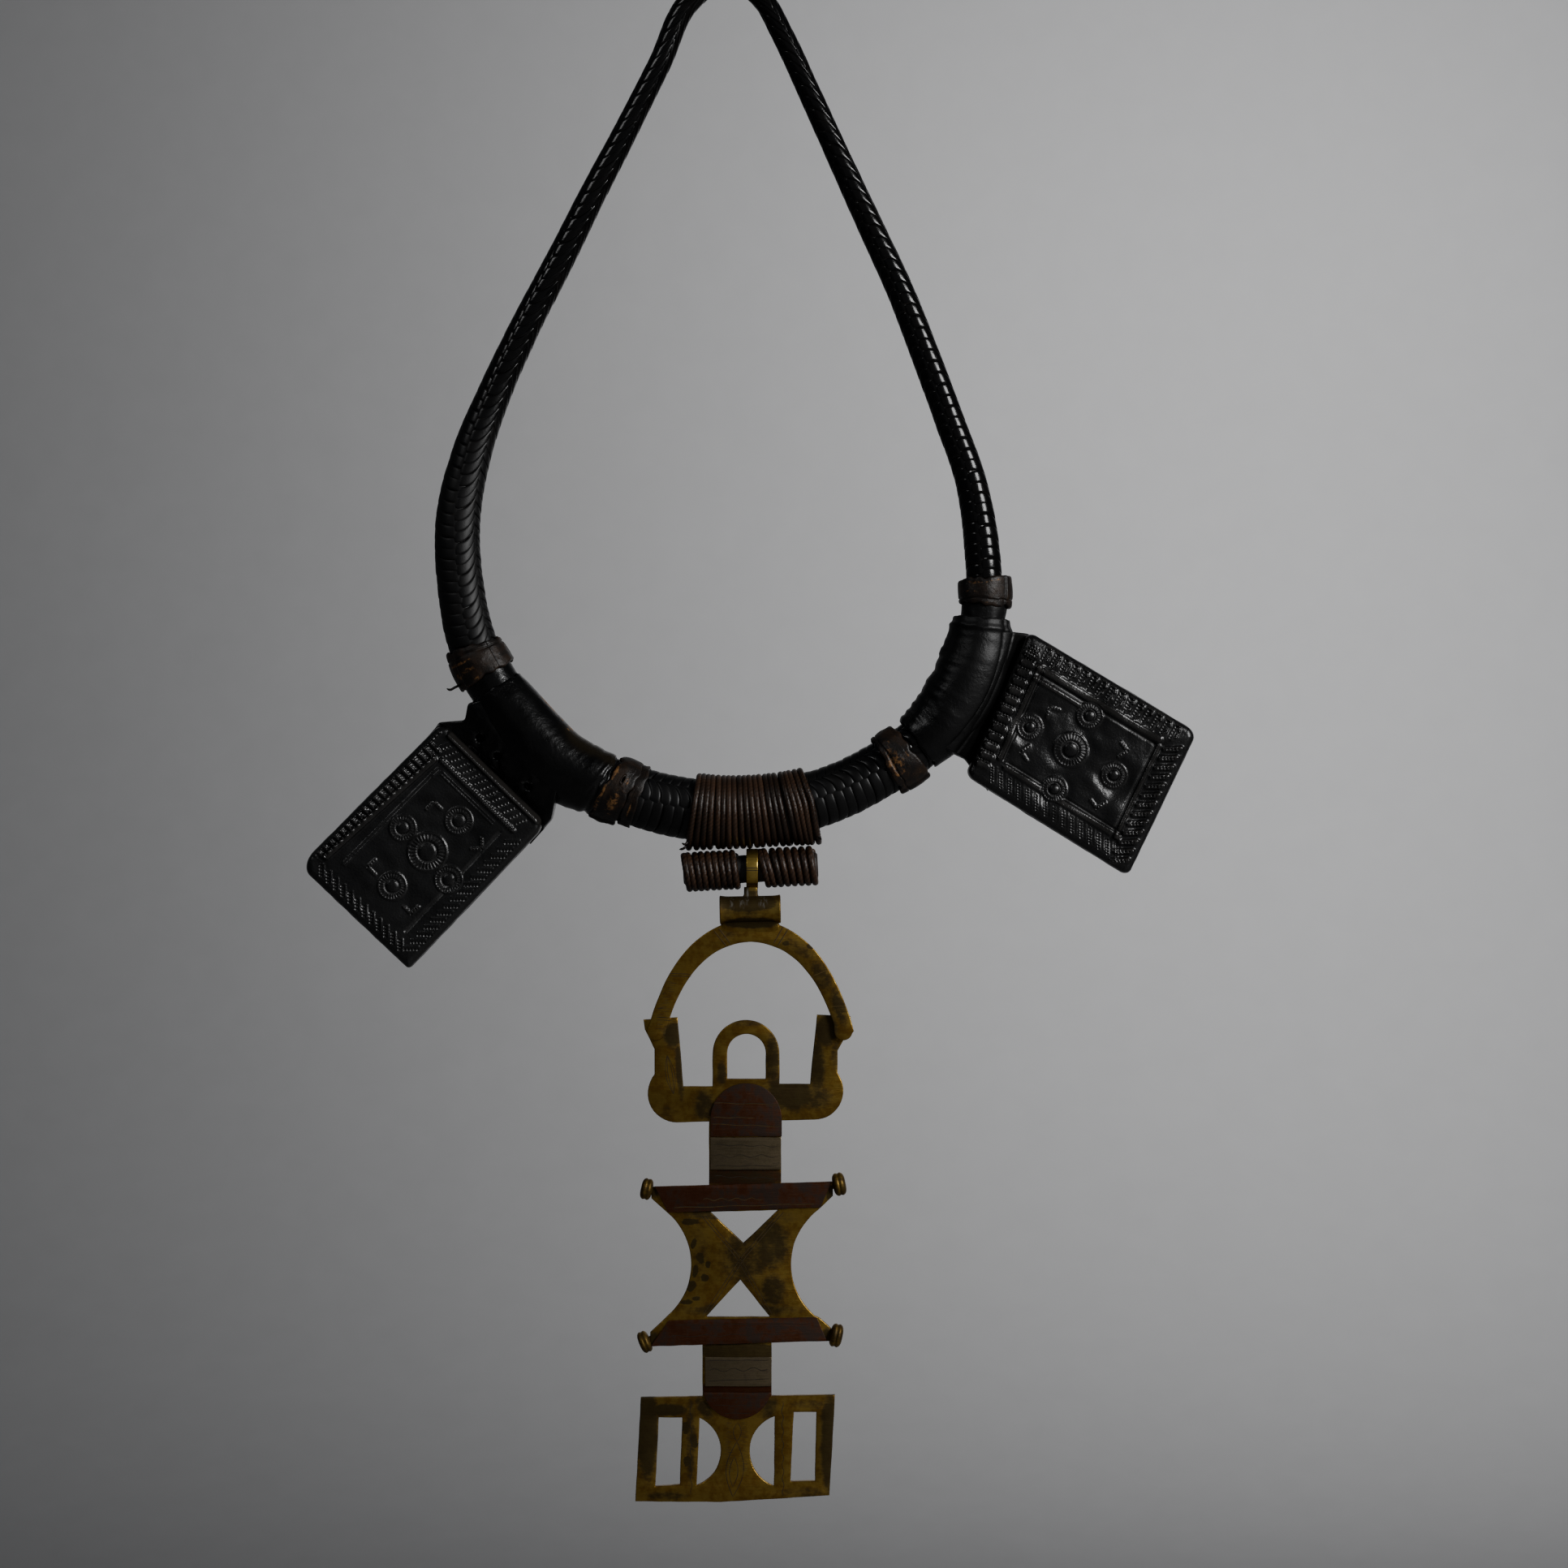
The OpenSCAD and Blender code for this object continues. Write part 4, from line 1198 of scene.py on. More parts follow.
def pouch(side, look):
    """One flat pouch: a stamped front, rounded sides and a plain back."""
    corners, pattern, roundness, uneven, seed = POUCHES[side]
    a, b, c, d = (np.array(corner, float) for corner in corners)
    p, q, reach = rounded_square(250, 190, roundness)
    across, down = (p[..., None] + 1) / 2, (q[..., None] + 1) / 2
    flat = ((a * (1 - across) + b * across) * (1 - down) + (d * (1 - across) + c * across) * down)
    width, tall = np.linalg.norm(b - a) / 2, np.linalg.norm(d - a) / 2
    inset = np.minimum((1 - np.abs(p)) * width, (1 - np.abs(q)) * tall)
    inset = np.minimum(inset, (1 - reach) * min(width, tall) * 1.6)
    on = joined(flat[..., 0], 0, flat[..., 1])
    wobble = sum(high * rough(on, size, seed + 50) for high, size in zip(uneven, (16, 8, 3.5)))
    stamps = Stamps(flat[..., 0], flat[..., 1])
    pattern(stamps, [Edge(corners, k) for k in range(4)])
    edge = look.edge_radius / MM
    fall = edge - np.sqrt(np.clip(edge**2 - (edge - np.clip(inset, 0, edge))**2, 0, None))
    relief = stamps.height * smooth(inset, 0.3, 1.4) * look.stamp_depth
    y = (POUCH_BACK - look.thickness / MM + fall - relief - wobble * smooth(inset, 0, 6)
         - 0.25 * smooth(reach, 1.0, 0.2))
    # Wear on the raised stamps and along the edges; its paler colour is also a painted sheen on
    # the raised parts
    wear = 0.12 + stamps.wear * 0.75 + 0.55 * (1 - smooth(inset, 0.2, 1.6)) * (
        0.5 + 0.5 * rough(on, 7.0, seed + 52))
    surface = Surface()
    front = joined(flat[..., 0], y, flat[..., 1])
    surface.grid(front, wear=wear, tone=stamps.dark * 0.85)
    ring = np.concatenate([front[:-1, 0], front[-1, :-1], front[:0:-1, -1], front[0, :0:-1]])
    out = ring * (1, 0, 1)
    out = unit(out - out.mean(axis=0))

    def ring_at(push, depth):
        moved = ring + out * np.reshape(push, (-1, 1))
        return joined(moved[:, 0], depth, moved[:, 2])

    rings = []
    for f in np.linspace(0, 1, 7):
        depth = ring[:, 1] + (POUCH_BACK - edge - ring[:, 1]) * f
        bulge = 0.25 + 0.12 * rough(ring_at(0, depth), 2.5, seed + 53)
        rings.append(ring_at(bulge * math.sin(math.pi * f), depth))
    for turn in np.radians(np.linspace(0, 90, 7)[1:]):
        rings.append(ring_at(edge * (math.cos(turn) - 1),
                             POUCH_BACK - edge + edge * math.sin(turn)))
    last, middle = rings[-1], rings[-1].mean(axis=0)
    rings += [middle + (last - middle) * f for f in (0.85, 0.65, 0.4, 0.15)]
    surface.grid(np.array(rings), around=True, wear=0.25)
    surface.fan(rings[-1], wear=0.2)
    return surface


class NECKLACE_OT_pouches(Operator):
    """Stamp the two flat leather amulet pouches"""
    bl_idname = "necklace.pouches"
    bl_label = "Amulet Pouches"

    def execute(self, context):
        look = context.scene.necklace.pouches
        for side in POUCHES:
            build(f"pouch_{side}_leather", pouch(side, look), pouch_leather(),
                  "collar", (f"pouch_{side}",))
        return {'FINISHED'}


# ---------------------------------------------------------------------------
# Wound cord
# ---------------------------------------------------------------------------

TO_FRONT = np.array([0.0, -1.0, 0.0])


def cord(surface, path, away, r, lay, tone, wear=0.3, around=12):
    """Adds twisted cord along a path; away points from the wound thing's axis to the path."""
    tangent = unit(np.gradient(path, axis=0))
    side = unit(np.cross(tangent, away))
    up = np.cross(side, tangent)
    run = distances(path)
    a = np.radians(once_round(around))
    lobes = np.abs(np.cos(1.5 * (a - 2 * np.pi * run[:, None] / lay)))
    taper = np.clip(np.minimum(run, run[-1] - run) / 0.8, 0.15, 1)[:, None]
    rr = r * (0.88 + 0.13 * lobes**0.6) * np.sqrt(taper)
    # The tone rises between the plies: painted shade in the grooves; wear lightens the plies'
    # crowns
    surface.tube(path[:, None] + up[:, None] * (rr * np.cos(a))[..., None]
                 + side[:, None] * (rr * np.sin(a))[..., None], wear * lobes,
                 np.clip(np.reshape(tone, (-1, 1)) + 0.5 * (1 - lobes), 0, 1))


def thread(surface, points, count, passes, tone, wear):
    """Adds a short loose thread through points."""
    cord(surface, rounded_line(points, count, passes), TO_FRONT, 0.4, 2.0, tone, wear, 8)


def winding(random, turns, short, step, wander, swell, dark):
    """Angles in degrees and turns of wound cord, how far it strays and swells, its tone."""
    a = np.arange(0, turns * 360 - short, step)
    knots = np.arange(turns * 2 + 2) / 2
    n = len(knots)
    drawn = (random.normal(0, wander, n), random.normal(0, swell, n), random.uniform(0, dark, n))
    return a, a / 360, *(np.interp(a / 360, knots, values) for values in drawn)


# Frayed ends of the binding's cord: across, deep, up
FRAYED = [[(-11.5, -6, -262.5), (-12.8, -7, -264.2), (-13.8, -7, -263.6)],
          [(-12, -4, -264.2), (-13.4, -5, -265.4), (-14.6, -4, -265.6)],
          [(26.5, -6, -260.2), (28.3, -6, -261.6), (29, -5, -262.6)]]

# The turn at the binding's gap, the lowest lines of its turns and of the leather under them,
# in millimetres below the peg, and how these lines slant
GAP_TURN, TURNS_LOW, UNDER_LOW, LOW_SLANT = 15.5, 265.6, 265.0, 0.052


class NECKLACE_OT_binding(Operator):
    """Wind the waxed cord round the bottom of the collar"""
    bl_idname = "necklace.binding"
    bl_label = "Cord Binding"

    def sag(self, s, t, low):
        """How far the turns stand off the collar on its lower side, down to a slanting line."""
        x, z = along(s)[..., 0], along(s)[..., 1]
        down = np.clip(-outward(s)[..., 1], 0.5, 1)
        far = np.clip((low - LOW_SLANT * x + z) / down - radius(s), 0, 12)
        return far * np.clip(np.sin(np.radians(t)), 0, 1)**3

    def execute(self, context):
        look = context.scene.necklace.cords
        r, turns = look.thickness / MM / 2, look.binding_turns
        a, turn, loose, swell, tone = winding(np.random.default_rng(3), turns, 30, 2.9, 0.16, 0.1,
                                              0.7)
        first, last = length_at(BINDING[0]), length_at(BINDING[1])
        t, past = a - 90, turn - GAP_TURN
        sine = np.sin(np.radians(t))
        lean = np.where(past < 0, 0.35 * np.clip((9 - turn) / 9, 0, 1), -0.1 - 0.05 * past)
        l = first + (last - first) / turns * (turn + 0.35) + loose - lean * sine
        l += np.where(past > 0, 0.45, 0) * smooth(past, -0.2, 0.2)
        l -= 0.38 * np.clip(past, 0, 6) * np.clip(sine, 0, 1)
        s = station_of(l)
        radial = radius(s) + r + np.abs(swell) * 0.5 + self.sag(s, t, TURNS_LOW - 2 * r)
        path = place(s, t, radial)
        cords = Surface()
        cord(cords, path, place(s, t, radial + 1) - path, r * 0.98, look.lay / MM, tone)
        for ends in FRAYED:
            thread(cords, ends, 12, 2, 0.9, 0.1)
        build("binding_cord", cords, waxed_cord(), "collar", ("binding_wrap",))
        s, t = np.linspace(BINDING[0] + 0.02, BINDING[1] - 0.02, 40)[:, None], once_round(64)
        radial = radius(s) + np.where((s < s[1]) | (s > s[-2]), -0.6, 0.35)
        under = Surface()
        under.grid(place(s, t, radial + self.sag(s, t, UNDER_LOW - r)), around=True)
        build("binding_under", under, core_leather(), "collar")
        return {'FINISHED'}


# Tilt of the bar in degrees, half its length, and the radii of its cord and of the cord's path
BAR_TILT, BAR_HALF, BAR_CORD, BAR_TURNS = 3, 20.75, 1.06, 5.12
# Ends of each roll along the bar, its turns, and their lean at the first, third and last turn
ROLLS = {"left": (-20.6, -3.3, 9, (0.7, 0.35, 0.15)), "right": (3.1, 20.6, 8, (1.2, 0.7, 0.2))}


class NECKLACE_OT_roll(Operator):
    """Wind the cord on the bar that the pendant hangs from"""
    bl_idname = "necklace.roll"
    bl_label = "Wound Bar"

    def execute(self, context):
        look = context.scene.necklace.cords
        tilt = math.radians(BAR_TILT)
        axis = np.array([math.cos(tilt), 0, math.sin(tilt)])
        up = np.array([-math.sin(tilt), 0, math.cos(tilt)])

        def round_bar(x, a, r):
            """Points on the bar and their directions out of it."""
            out = np.cos(a)[..., None] * up + np.sin(a)[..., None] * TO_FRONT
            middle = np.array([HINGE[0], 0, HINGE[1]]) + x[..., None] * axis
            return middle + out * r[..., None], out

        random = np.random.default_rng(5)
        for side, (first, last, turns, slants) in ROLLS.items():
            a, turn, loose, swell, tone = winding(random, turns, 20, 5.0, 0.12, 0.06, 0.6)
            step = (last - first - 2 * BAR_CORD) / (turns - 1)
            x = (first + BAR_CORD + step * np.clip(turn - 0.5, 0, turns - 1) + loose * 0.6
                 - np.interp(turn, (0, 2, turns), slants) * np.cos(np.radians(a)))
            path, out = round_bar(x, np.radians(a), BAR_TURNS + np.abs(swell))
            surface = Surface()
            cord(surface, path, out, BAR_CORD, look.lay / MM * 1.15, tone, 0.35)
            build(f"roll_{side}_cord", surface, waxed_cord(), "collar",
                  (f"roll_{side}",))
        x, a = np.linspace(-BAR_HALF, BAR_HALF, 90)[:, None], np.radians(once_round(56))
        end = np.clip((BAR_HALF - np.abs(x)) / 0.8, 0, 1)
        on = joined(x, 4 * np.cos(a), 4 * np.sin(a))
        bar = Surface()
        bar.tube(round_bar(x, a, 3.5 + 0.75 * np.sqrt(end) + 0.12 * rough(on, 2.0, 61))[0])
        build("roll_bar", bar, core_leather(), "collar", ("roll_core",))
        return {'FINISHED'}


# ---------------------------------------------------------------------------
# The brass pendant, measured from the hinge, across and up
# ---------------------------------------------------------------------------


def arc(x, z, r, first, last, count=16):
    a = np.radians(np.linspace(first, last, count))
    return [(x + r * math.cos(k), z + r * math.sin(k)) for k in a]


def bend(a, b, c):
    """A curve from a to c that leans over to b."""
    a, b, c = np.array([a, b, c], float)
    f = np.linspace(0, 1, 24)[:, None]
    return [tuple(p) for p in a * (1 - f)**2 + 2 * f * (1 - f) * b + c * f**2]


PLATE = ([(-33, -46.5), (-22.5, -45.8), (-21.25, -60), (-20.8, -67), (-11.7, -67)]
         + arc(-1.4, -56.9, 10.3, 180, 0, 28)
         + [(8.9, -66.3), (18.3, -66.3), (18.9, -60), (20.5, -45), (30.8, -45.5), (31, -48.5),
            (26.8, -56)]
         + arc(19.6, -68.3, 9, 37, -90, 16)
         + [(9.4, -77.5), (9.4, -96.9), (25.4, -96.4), (25.4, -100.7)]
         + arc(33.5, -121.8, 21, 127, 229, 24)
         + [(21.2, -138.2), (24.8, -141.6), (24.8, -145.4), (6.5, -145.9), (6.5, -162.3),
            (26, -162), (24.3, -193), (-9, -195), (-35.5, -194.8), (-33.8, -162.8),
            (-14.8, -162.5), (-14.8, -146.5), (-30.9, -147), (-30.9, -142.8)]
         + arc(-39.3, -121.8, 21, -48.5, 48.5, 24)
         + [(-30.5, -101.5), (-30.5, -98), (-12.8, -97.5), (-12.8, -77.9)]
         + arc(-22.7, -69.1, 9, -90, -220, 16)
         + [(-29.6, -55.5), (-32.6, -49.5)])
PLATE_HOLES = [
    [(-7.2, -64.7), (4.6, -64.7)] + arc(-1.3, -56.8, 5.95, 0, 180, 20),
    [(-12.4, -105.7), (8.5, -105.1), (-2.2, -115.3)],
    [(-3.2, -126.5), (-13.7, -138), (6, -138)],
    [(-28.3, -169), (-21, -169), (-21.8, -189.6), (-29.3, -190.2)],
    [(13.3, -167.3), (20.3, -167.3), (19.8, -188.5), (12.3, -188.7)],
    arc(-20.5, -179.3, 11.3, 64.9, -69.8, 20),
    arc(11, -179.3, 11.3, 108.5, 250.4, 20)]
ARCH = (bend((9.2, -17.4), (25, -24), (31.8, -50))
        + arc(28.5, -49.9, 2.9, 0, -180, 14)
        + bend((26.2, -50), (18.5, -23.5), (0.4, -22.5))[1:]
        + bend((-0.4, -22.5), (-18.5, -23.5), (-26.2, -50))
        + arc(-29, -49.9, 2.9, 0, -180, 14)
        + bend((-31.8, -50), (-25, -24), (-9.2, -17.4))[1:])


def hand_cut(outline, seed):
    """The outline with points close together, moved a little as a saw and file leave it."""
    kept = [np.array(outline[0], float)]
    for p in np.array(outline[1:], float):
        if min(np.linalg.norm(p - kept[-1]), np.linalg.norm(p - kept[0])) > 0.5:
            kept.append(p)
    points = []
    for a, b in zip(kept, kept[1:] + kept[:1]):
        n = max(1, int(np.linalg.norm(b - a) / 1.1))
        points += [a + (b - a) * k / n for k in range(n)]
    on = joined(*np.transpose(points), 0)
    return np.array(points) + 0.07 * joined(rough(on, 3.5, seed), rough(on, 3.5, seed + 1))


def cut_sheet(name, outline, holes, front, back, edge, material, replaced, seed):
    """A flat piece of metal with rounded edges, cut to an outline with holes."""
    curve = bpy.data.curves.new(name, 'CURVE')
    curve.dimensions, curve.fill_mode = '2D', 'BOTH'
    for k, loop in enumerate([outline, *holes]):
        points = hand_cut(loop, seed + 7 * k) * MM
        spline = curve.splines.new('POLY')
        spline.points.add(len(points) - 1)
        spline.points.foreach_set("co", joined(*points.T, 0, 1).ravel())
        spline.use_cyclic_u = True
    curve.extrude = ((back - front) / 2 - edge) * MM
    curve.bevel_depth, curve.offset = edge * MM, -edge * MM
    curve.bevel_resolution = 2
    shape = bpy.data.objects.new(name + "_outline", curve)
    mesh = bpy.data.meshes.new_from_object(shape)
    mesh.name = name
    mesh.materials.clear()
    bpy.data.objects.remove(shape)
    bpy.data.curves.remove(curve)
    centre = Vector((HINGE[0], (front + back) / 2, HINGE[1])) * MM
    mesh.transform(Matrix.Translation(centre) @ Matrix.Rotation(math.pi / 2, 4, 'X'))
    cleaned(mesh, 2e-6)
    link(name, mesh, material, "pendant", replaced, 35)


def lathe(surface, profile, centre, tilt=0.0, around=64, closed=False):
    """Turns a profile of places along the axis and radii round an axis that lies across."""
    x, r = np.array(profile, float).T[..., None]
    a = np.radians(once_round(around))
    c, s, up = math.cos(tilt), math.sin(tilt), r * np.cos(a)
    points = joined(centre[0] + HINGE[0] + x * c - up * s, centre[1] - r * np.sin(a),
                    centre[2] + HINGE[1] + x * s + up * c)
    if closed:
        surface.grid(points, around=True, closed=True)
    else:
        surface.tube(points)


def powered(value, power):
    """A power of the value that keeps its sign."""
    return np.sign(value) * np.abs(value)**power


def stem(top, bottom, count, middle, powers, half, deep):
    """A bar down the pendant; half and deep give its half width and depth for each share."""
    f, a = np.linspace(0, 1, count)[:, None], np.radians(once_round(40))
    surface = Surface()
    surface.tube(joined(HINGE[0] + middle[0] + half(f) * powered(np.cos(a), powers[0]),
                        middle[1] - deep(f) * powered(np.sin(a), powers[1]),
                        HINGE[1] + top + (bottom - top) * f))
    return surface


# Each end knob's place across and up, width, thickness and tilt, and the side of its stem
KNOBS = ((-32, -98.7, 6.8, 3.6, -0.22, 1), (27.3, -97.2, 7.3, 4.0, 0.2, -1),
         (-32.6, -145.8, 7.0, 3.5, 0.4, 1), (26.4, -143.8, 7.4, 3.9, -0.2, -1))
# The strap's inner and outer radius, its ends along the hinge and the rounding of its edges
STRAP_INNER, STRAP_OUTER, STRAP_LEFT, STRAP_RIGHT, STRAP_EDGE = 5.2, 6.2, -1.3, 2.3, 0.28
# How deep the plate's front lies, and the marks on the plate, on the arch and on the overlays;
# the backs of the overlays lie as deep as the marks on the plate
PLATE_FRONT, ON_PLATE, ON_ARCH, ON_OVERLAY = -1.0, -1.02, -2.42, -1.65


class NECKLACE_OT_pendant(Operator):
    """Cut and solder the brass pendant"""
    bl_idname = "necklace.pendant"
    bl_label = "Brass Pendant"

    def execute(self, context):
        look = context.scene.necklace.pendant
        edge = look.edge_radius / MM
        cut_sheet("pendant_plate", PLATE, PLATE_HOLES, PLATE_FRONT,
                  PLATE_FRONT + look.plate_thickness / MM, edge, plate_brass(),
                  ("pendant_frame",), 3)
        cut_sheet("pendant_arch", ARCH, [], -2.4, -0.98, edge, plate_brass(), (), 5)

        def fit(name, surface, sharp=50):
            build(name, surface, fitting_brass(), "pendant", sharp=sharp)

        knobs = Surface()
        f = np.radians(np.linspace(-90, 90, 27))
        for x, z, d, thick, tilt, stem_side in KNOBS:
            across = powered(np.sin(f), 0.8) * thick / 2
            out = powered(np.cos(f), 0.55) * d / 2 * (1 - 0.09 * hump(across, 0.4))
            lathe(knobs, joined(across, np.maximum(out, 0.05)), (x, 0.2, z), tilt)
            lathe(knobs, [(end, 1.1) for end in sorted((0, 3.6 * stem_side))], (x, 0.2, z), tilt,
                  20)
        fit("pendant_knobs", knobs)

        e = STRAP_EDGE
        left, right, inner, outer = (STRAP_LEFT + e, STRAP_RIGHT - e, STRAP_INNER + e,
                                     STRAP_OUTER - e)
        strap = Surface()
        lathe(strap, arc(right, outer, e, 0, 90, 5) + arc(left, outer, e, 90, 180, 5)
              + arc(left, inner, e, 180, 270, 5) + arc(right, inner, e, 270, 360, 5),
              (0, 0, 0), 0, 96, True)
        fit("pendant_strap", strap)

        barrel = Surface()
        lathe(barrel, [(x, 4.15 + 0.3 * max(0.0, (abs(x) - 6.2) / 3.0)**2.2)
                       for x in np.linspace(-9.25, 9.05, 60)]
              + [(9.25, 4.2), (9.3, 3.9), (9.15, 3.55), (8.6, 3.25)]
              + [(x, 3.15) for x in np.linspace(8, -8, 8)]
              + [(-8.8, 3.25), (-9.35, 3.55), (-9.5, 3.9), (-9.45, 4.2)],
              (0, -1.7, -12.5), 0.02, 96, True)
        fit("pendant_barrel", barrel, 60)

        fit("pendant_neck", stem(
            -5.6, -10.0, 14, (0.1, -1.5), (0.5, 0.5),
            lambda f: 2.1 + 0.1 * f + 3.6 * np.clip((f - 0.45) / 0.55, 0, 1)**2.4,
            lambda f: 0.95 + 0.9 * np.clip((f - 0.4) / 0.6, 0, 1)**2))
        fit("pendant_fillet", stem(
            -15.2, -19.4, 12, (-0.1, -1.7), (0.35, 0.6),
            lambda f: 8.6 + 2.2 * f**2.2, lambda f: 1.5 * (1 - f)**1.6 + 0.72))
        return {'FINISHED'}


# Each overlay's finish, slot and outline
OVERLAYS = {
    "copper_cap_upper": (aged_copper, "copper",
                         [(-12.4, -82.4), (9.6, -82.4), (9.6, -76.9)]
                         + arc(-1.4, -76.9, 10.95, 0, 180, 28)),
    "silver_band_upper": (pale_metal, "pale_metal",
                          [(-12.4, -92.6), (9.4, -92.6), (9.4, -82.65), (-12.4, -82.65)]),
    "copper_bar_upper": (aged_copper, "copper",
                         [(-29.5, -97.8), (25, -96.3), (21.5, -104.3), (-25.5, -105.8)]),
    "copper_bar_lower": (aged_copper, "copper",
                         [(-25.3, -139), (20.3, -138), (23.5, -145.3), (-30.8, -147)]),
    "silver_band_lower": (pale_metal, "pale_metal",
                          [(-14, -159.3), (6.5, -159.3), (6.5, -150.3), (-14, -150.3)]),
    "copper_cap_lower": (aged_copper, "copper",
                         arc(-4.1, -158.8, 10.7, 192.96, 347.04, 28)),
}


class NECKLACE_OT_overlays(Operator):
    """Lay the copper and pale metal plates on the pendant"""
    bl_idname = "necklace.overlays"
    bl_label = "Pendant Overlays"

    def execute(self, context):
        look = context.scene.necklace.pendant
        front = ON_PLATE - look.overlay_thickness / MM
        for n, (name, (material, slot, outline)) in enumerate(OVERLAYS.items()):
            cut_sheet(name + "_plate", outline, [], front, ON_PLATE, 0.16, material(),
                      (name,), 20 + n)
        return {'FINISHED'}


# ---------------------------------------------------------------------------
# Engraving
# ---------------------------------------------------------------------------


def ribbon(surface, line, width, front):
    """A thin strip along a line on a flat front, tapered at its ends."""
    n = max(3, int(distances(line)[-1] / 0.45))
    line = curve_through(line, n)
    to_end = np.minimum(np.arange(n), np.arange(n)[::-1])
    half = (width / 2 * np.clip(to_end / 2 + 0.25, 0, 1)
            * (1 + 0.35 * rough(joined(*line.T, 0), 1.2, 71)))
    side = left_of(unit(np.gradient(line, axis=0))) * half[:, None]
    surface.grid(np.array([joined(HINGE[0] + rim[:, 0], front, HINGE[1] + rim[:, 1])
                           for rim in (line - side, line + side)]))


def wavy(a, b, rise, waves, count=60):
    """A wavy line between two points."""
    a, b = np.array(a, float), np.array(b, float)
    f = np.linspace(0, 1, count)[:, None]
    return a + (b - a) * f + left_of(unit(b - a)) * rise * np.sin(2 * np.pi * waves * f)


def leaf(a, b, width):
    """The two sides of a leaf from one point to another."""
    return [wavy(a, b, half, 0.5, 30) for half in (-width / 2, width / 2)]


def upright(px, py):
    """A point of the pendant from its place in a picture taken square to it."""
    return (px - HINGE_POINT[0]) / POINTS, (HINGE_POINT[1] - py) / POINTS


class NECKLACE_OT_engraving(Operator):
    """Engrave the lines, waves and leaves on the pendant"""
    bl_idname = "necklace.engraving"
    bl_label = "Engraving"

    def execute(self, context):
        # dark gathers the cut lines; bright gathers the pale ribbons, a painted highlight on the
        # cuts' edges
        dark, bright = Surface(), Surface()

        def cut(line, front, width=0.26, beside=0.0):
            ribbon(dark, line, width * 0.8, front)
            if beside:
                ribbon(bright, np.array(line) - (0, beside), 0.1, front)

        def waves(rings, front, width=0.2, beside=0.0):
            for left, right, y, fall, rise, count in rings:
                cut(wavy(upright(left, y), upright(right, y + fall), rise, count), front, width,
                    beside)

        # the arch's ends, its left leg and its right leg
        for a, b in (((880, 1146), (896, 1166)), ((886, 1143), (901, 1163)),
                     ((966, 1141), (954, 1162)), ((972, 1144), (959, 1165))):
            line = np.array([upright(*a), upright(*b)])
            # a pale ribbon beside each of these cuts: painted highlight
            ribbon(bright, line, 0.2, ON_ARCH)
            cut(line - (0.25, 0), ON_ARCH, 0.2)
        for left, right, y, width in ((826, 852, 1199, 0.2), (826, 852, 1202, 0.2),
                                      (809, 829, 1242, 0.18), (809, 829, 1253, 0.18),
                                      (809, 829, 1256, 0.18)):
            cut([upright(left, y), upright(right, y + 1)], ON_ARCH, width)
        random = np.random.default_rng(9)
        for k in range(30):
            y = 1208 + k * 2.1 + random.uniform(-1, 1)
            x = 824 - (y - 1215) * 0.25 + random.uniform(-5, 5)
            half = random.uniform(2, 6)
            cut([upright(x - half, y), upright(x + half, y + random.uniform(-1, 1))], ON_ARCH,
                0.12)
        # pale ribbons on their own on the arch, in the same painted highlight
        for a, b in (((1024, 1240), (1040, 1239)), ((1000, 1203), (1019, 1195))):
            ribbon(bright, [upright(*a), upright(*b)], 0.14, ON_ARCH)
        for width in (2.8, 1.3):
            for side in leaf(upright(822, 1300), upright(830, 1348), width):
                cut(side, ON_PLATE, 0.16)
        # lines across the dome, the bands and the bars
        waves(((880, 961, 1358, 2, 0.1, 2), (878, 930, 1376, 0, 0.12, 2),
               (877, 962, 1384, 3, 0.1, 2)), ON_OVERLAY, 0.16, 0.18)
        waves(((880, 958, 1410, 2, 0.25, 3), (880, 958, 1424, 0, 0.45, 3),
               (880, 958, 1436, 0, 0.12, 2)), ON_OVERLAY)
        waves(((880, 958, 1449, 3, 0.25, 3),), ON_PLATE)
        waves(((866, 940, 1477, -1, 0.35, 4), (830, 1004, 1487, -5, 0.12, 3)), ON_OVERLAY, 0.16,
              0.18)
        waves(((830, 1000, 1632, -2, 0.1, 3), (826, 1000, 1646, -4, 0.25, 5)), ON_OVERLAY, 0.16)
        waves(((873, 948, 1676, -1, 0.1, 2), (874, 946, 1688, -2, 0.5, 3),
               (873, 948, 1701, -3, 0.1, 1)), ON_OVERLAY, 0.24)
        waves(((876, 944, 1722, -1, 0.12, 2), (880, 938, 1731, 0, 0.12, 2),
               (892, 926, 1741, -1, 0.1, 1)), ON_OVERLAY, 0.16)
        # the crossing lines along the waist's holes
        for shift in (0, 4.5):
            for line, way in ((((868, 1497), (912, 1549), (951, 1618)), -1),
                              (((961, 1493), (914, 1548), (866, 1620)), 1)):
                cut([upright(x + shift * way, y) for x, y in line], ON_PLATE, 0.17, 0.16)
        # the foot
        for a, b, width in (((909, 1752), (908, 1776), 2.4), ((908, 1776), (903, 1844), 5.4),
                            ((905, 1794), (903, 1832), 2.6)):
            for side in leaf(upright(*a), upright(*b), width):
                cut(side, ON_PLATE, 0.2)
        for x in (851, 964):
            cut(wavy(upright(x, 1726), upright(x + 1, 1842), 0.3, 7), ON_PLATE, 0.2)
        for k in range(44):
            y = 1752 + k * 1.4 + random.uniform(-0.5, 0.5)
            bulge = 4 * math.sqrt(128 - ((y - 1787.6) / 4)**2)
            for x in (898, 916):
                x = x + random.uniform(-3, 3)
                cut([upright(max(x - 4, 846 + bulge), y),
                     upright(min(x + 4, 965 - bulge), y + random.uniform(-1, 1))], ON_PLATE, 0.09)
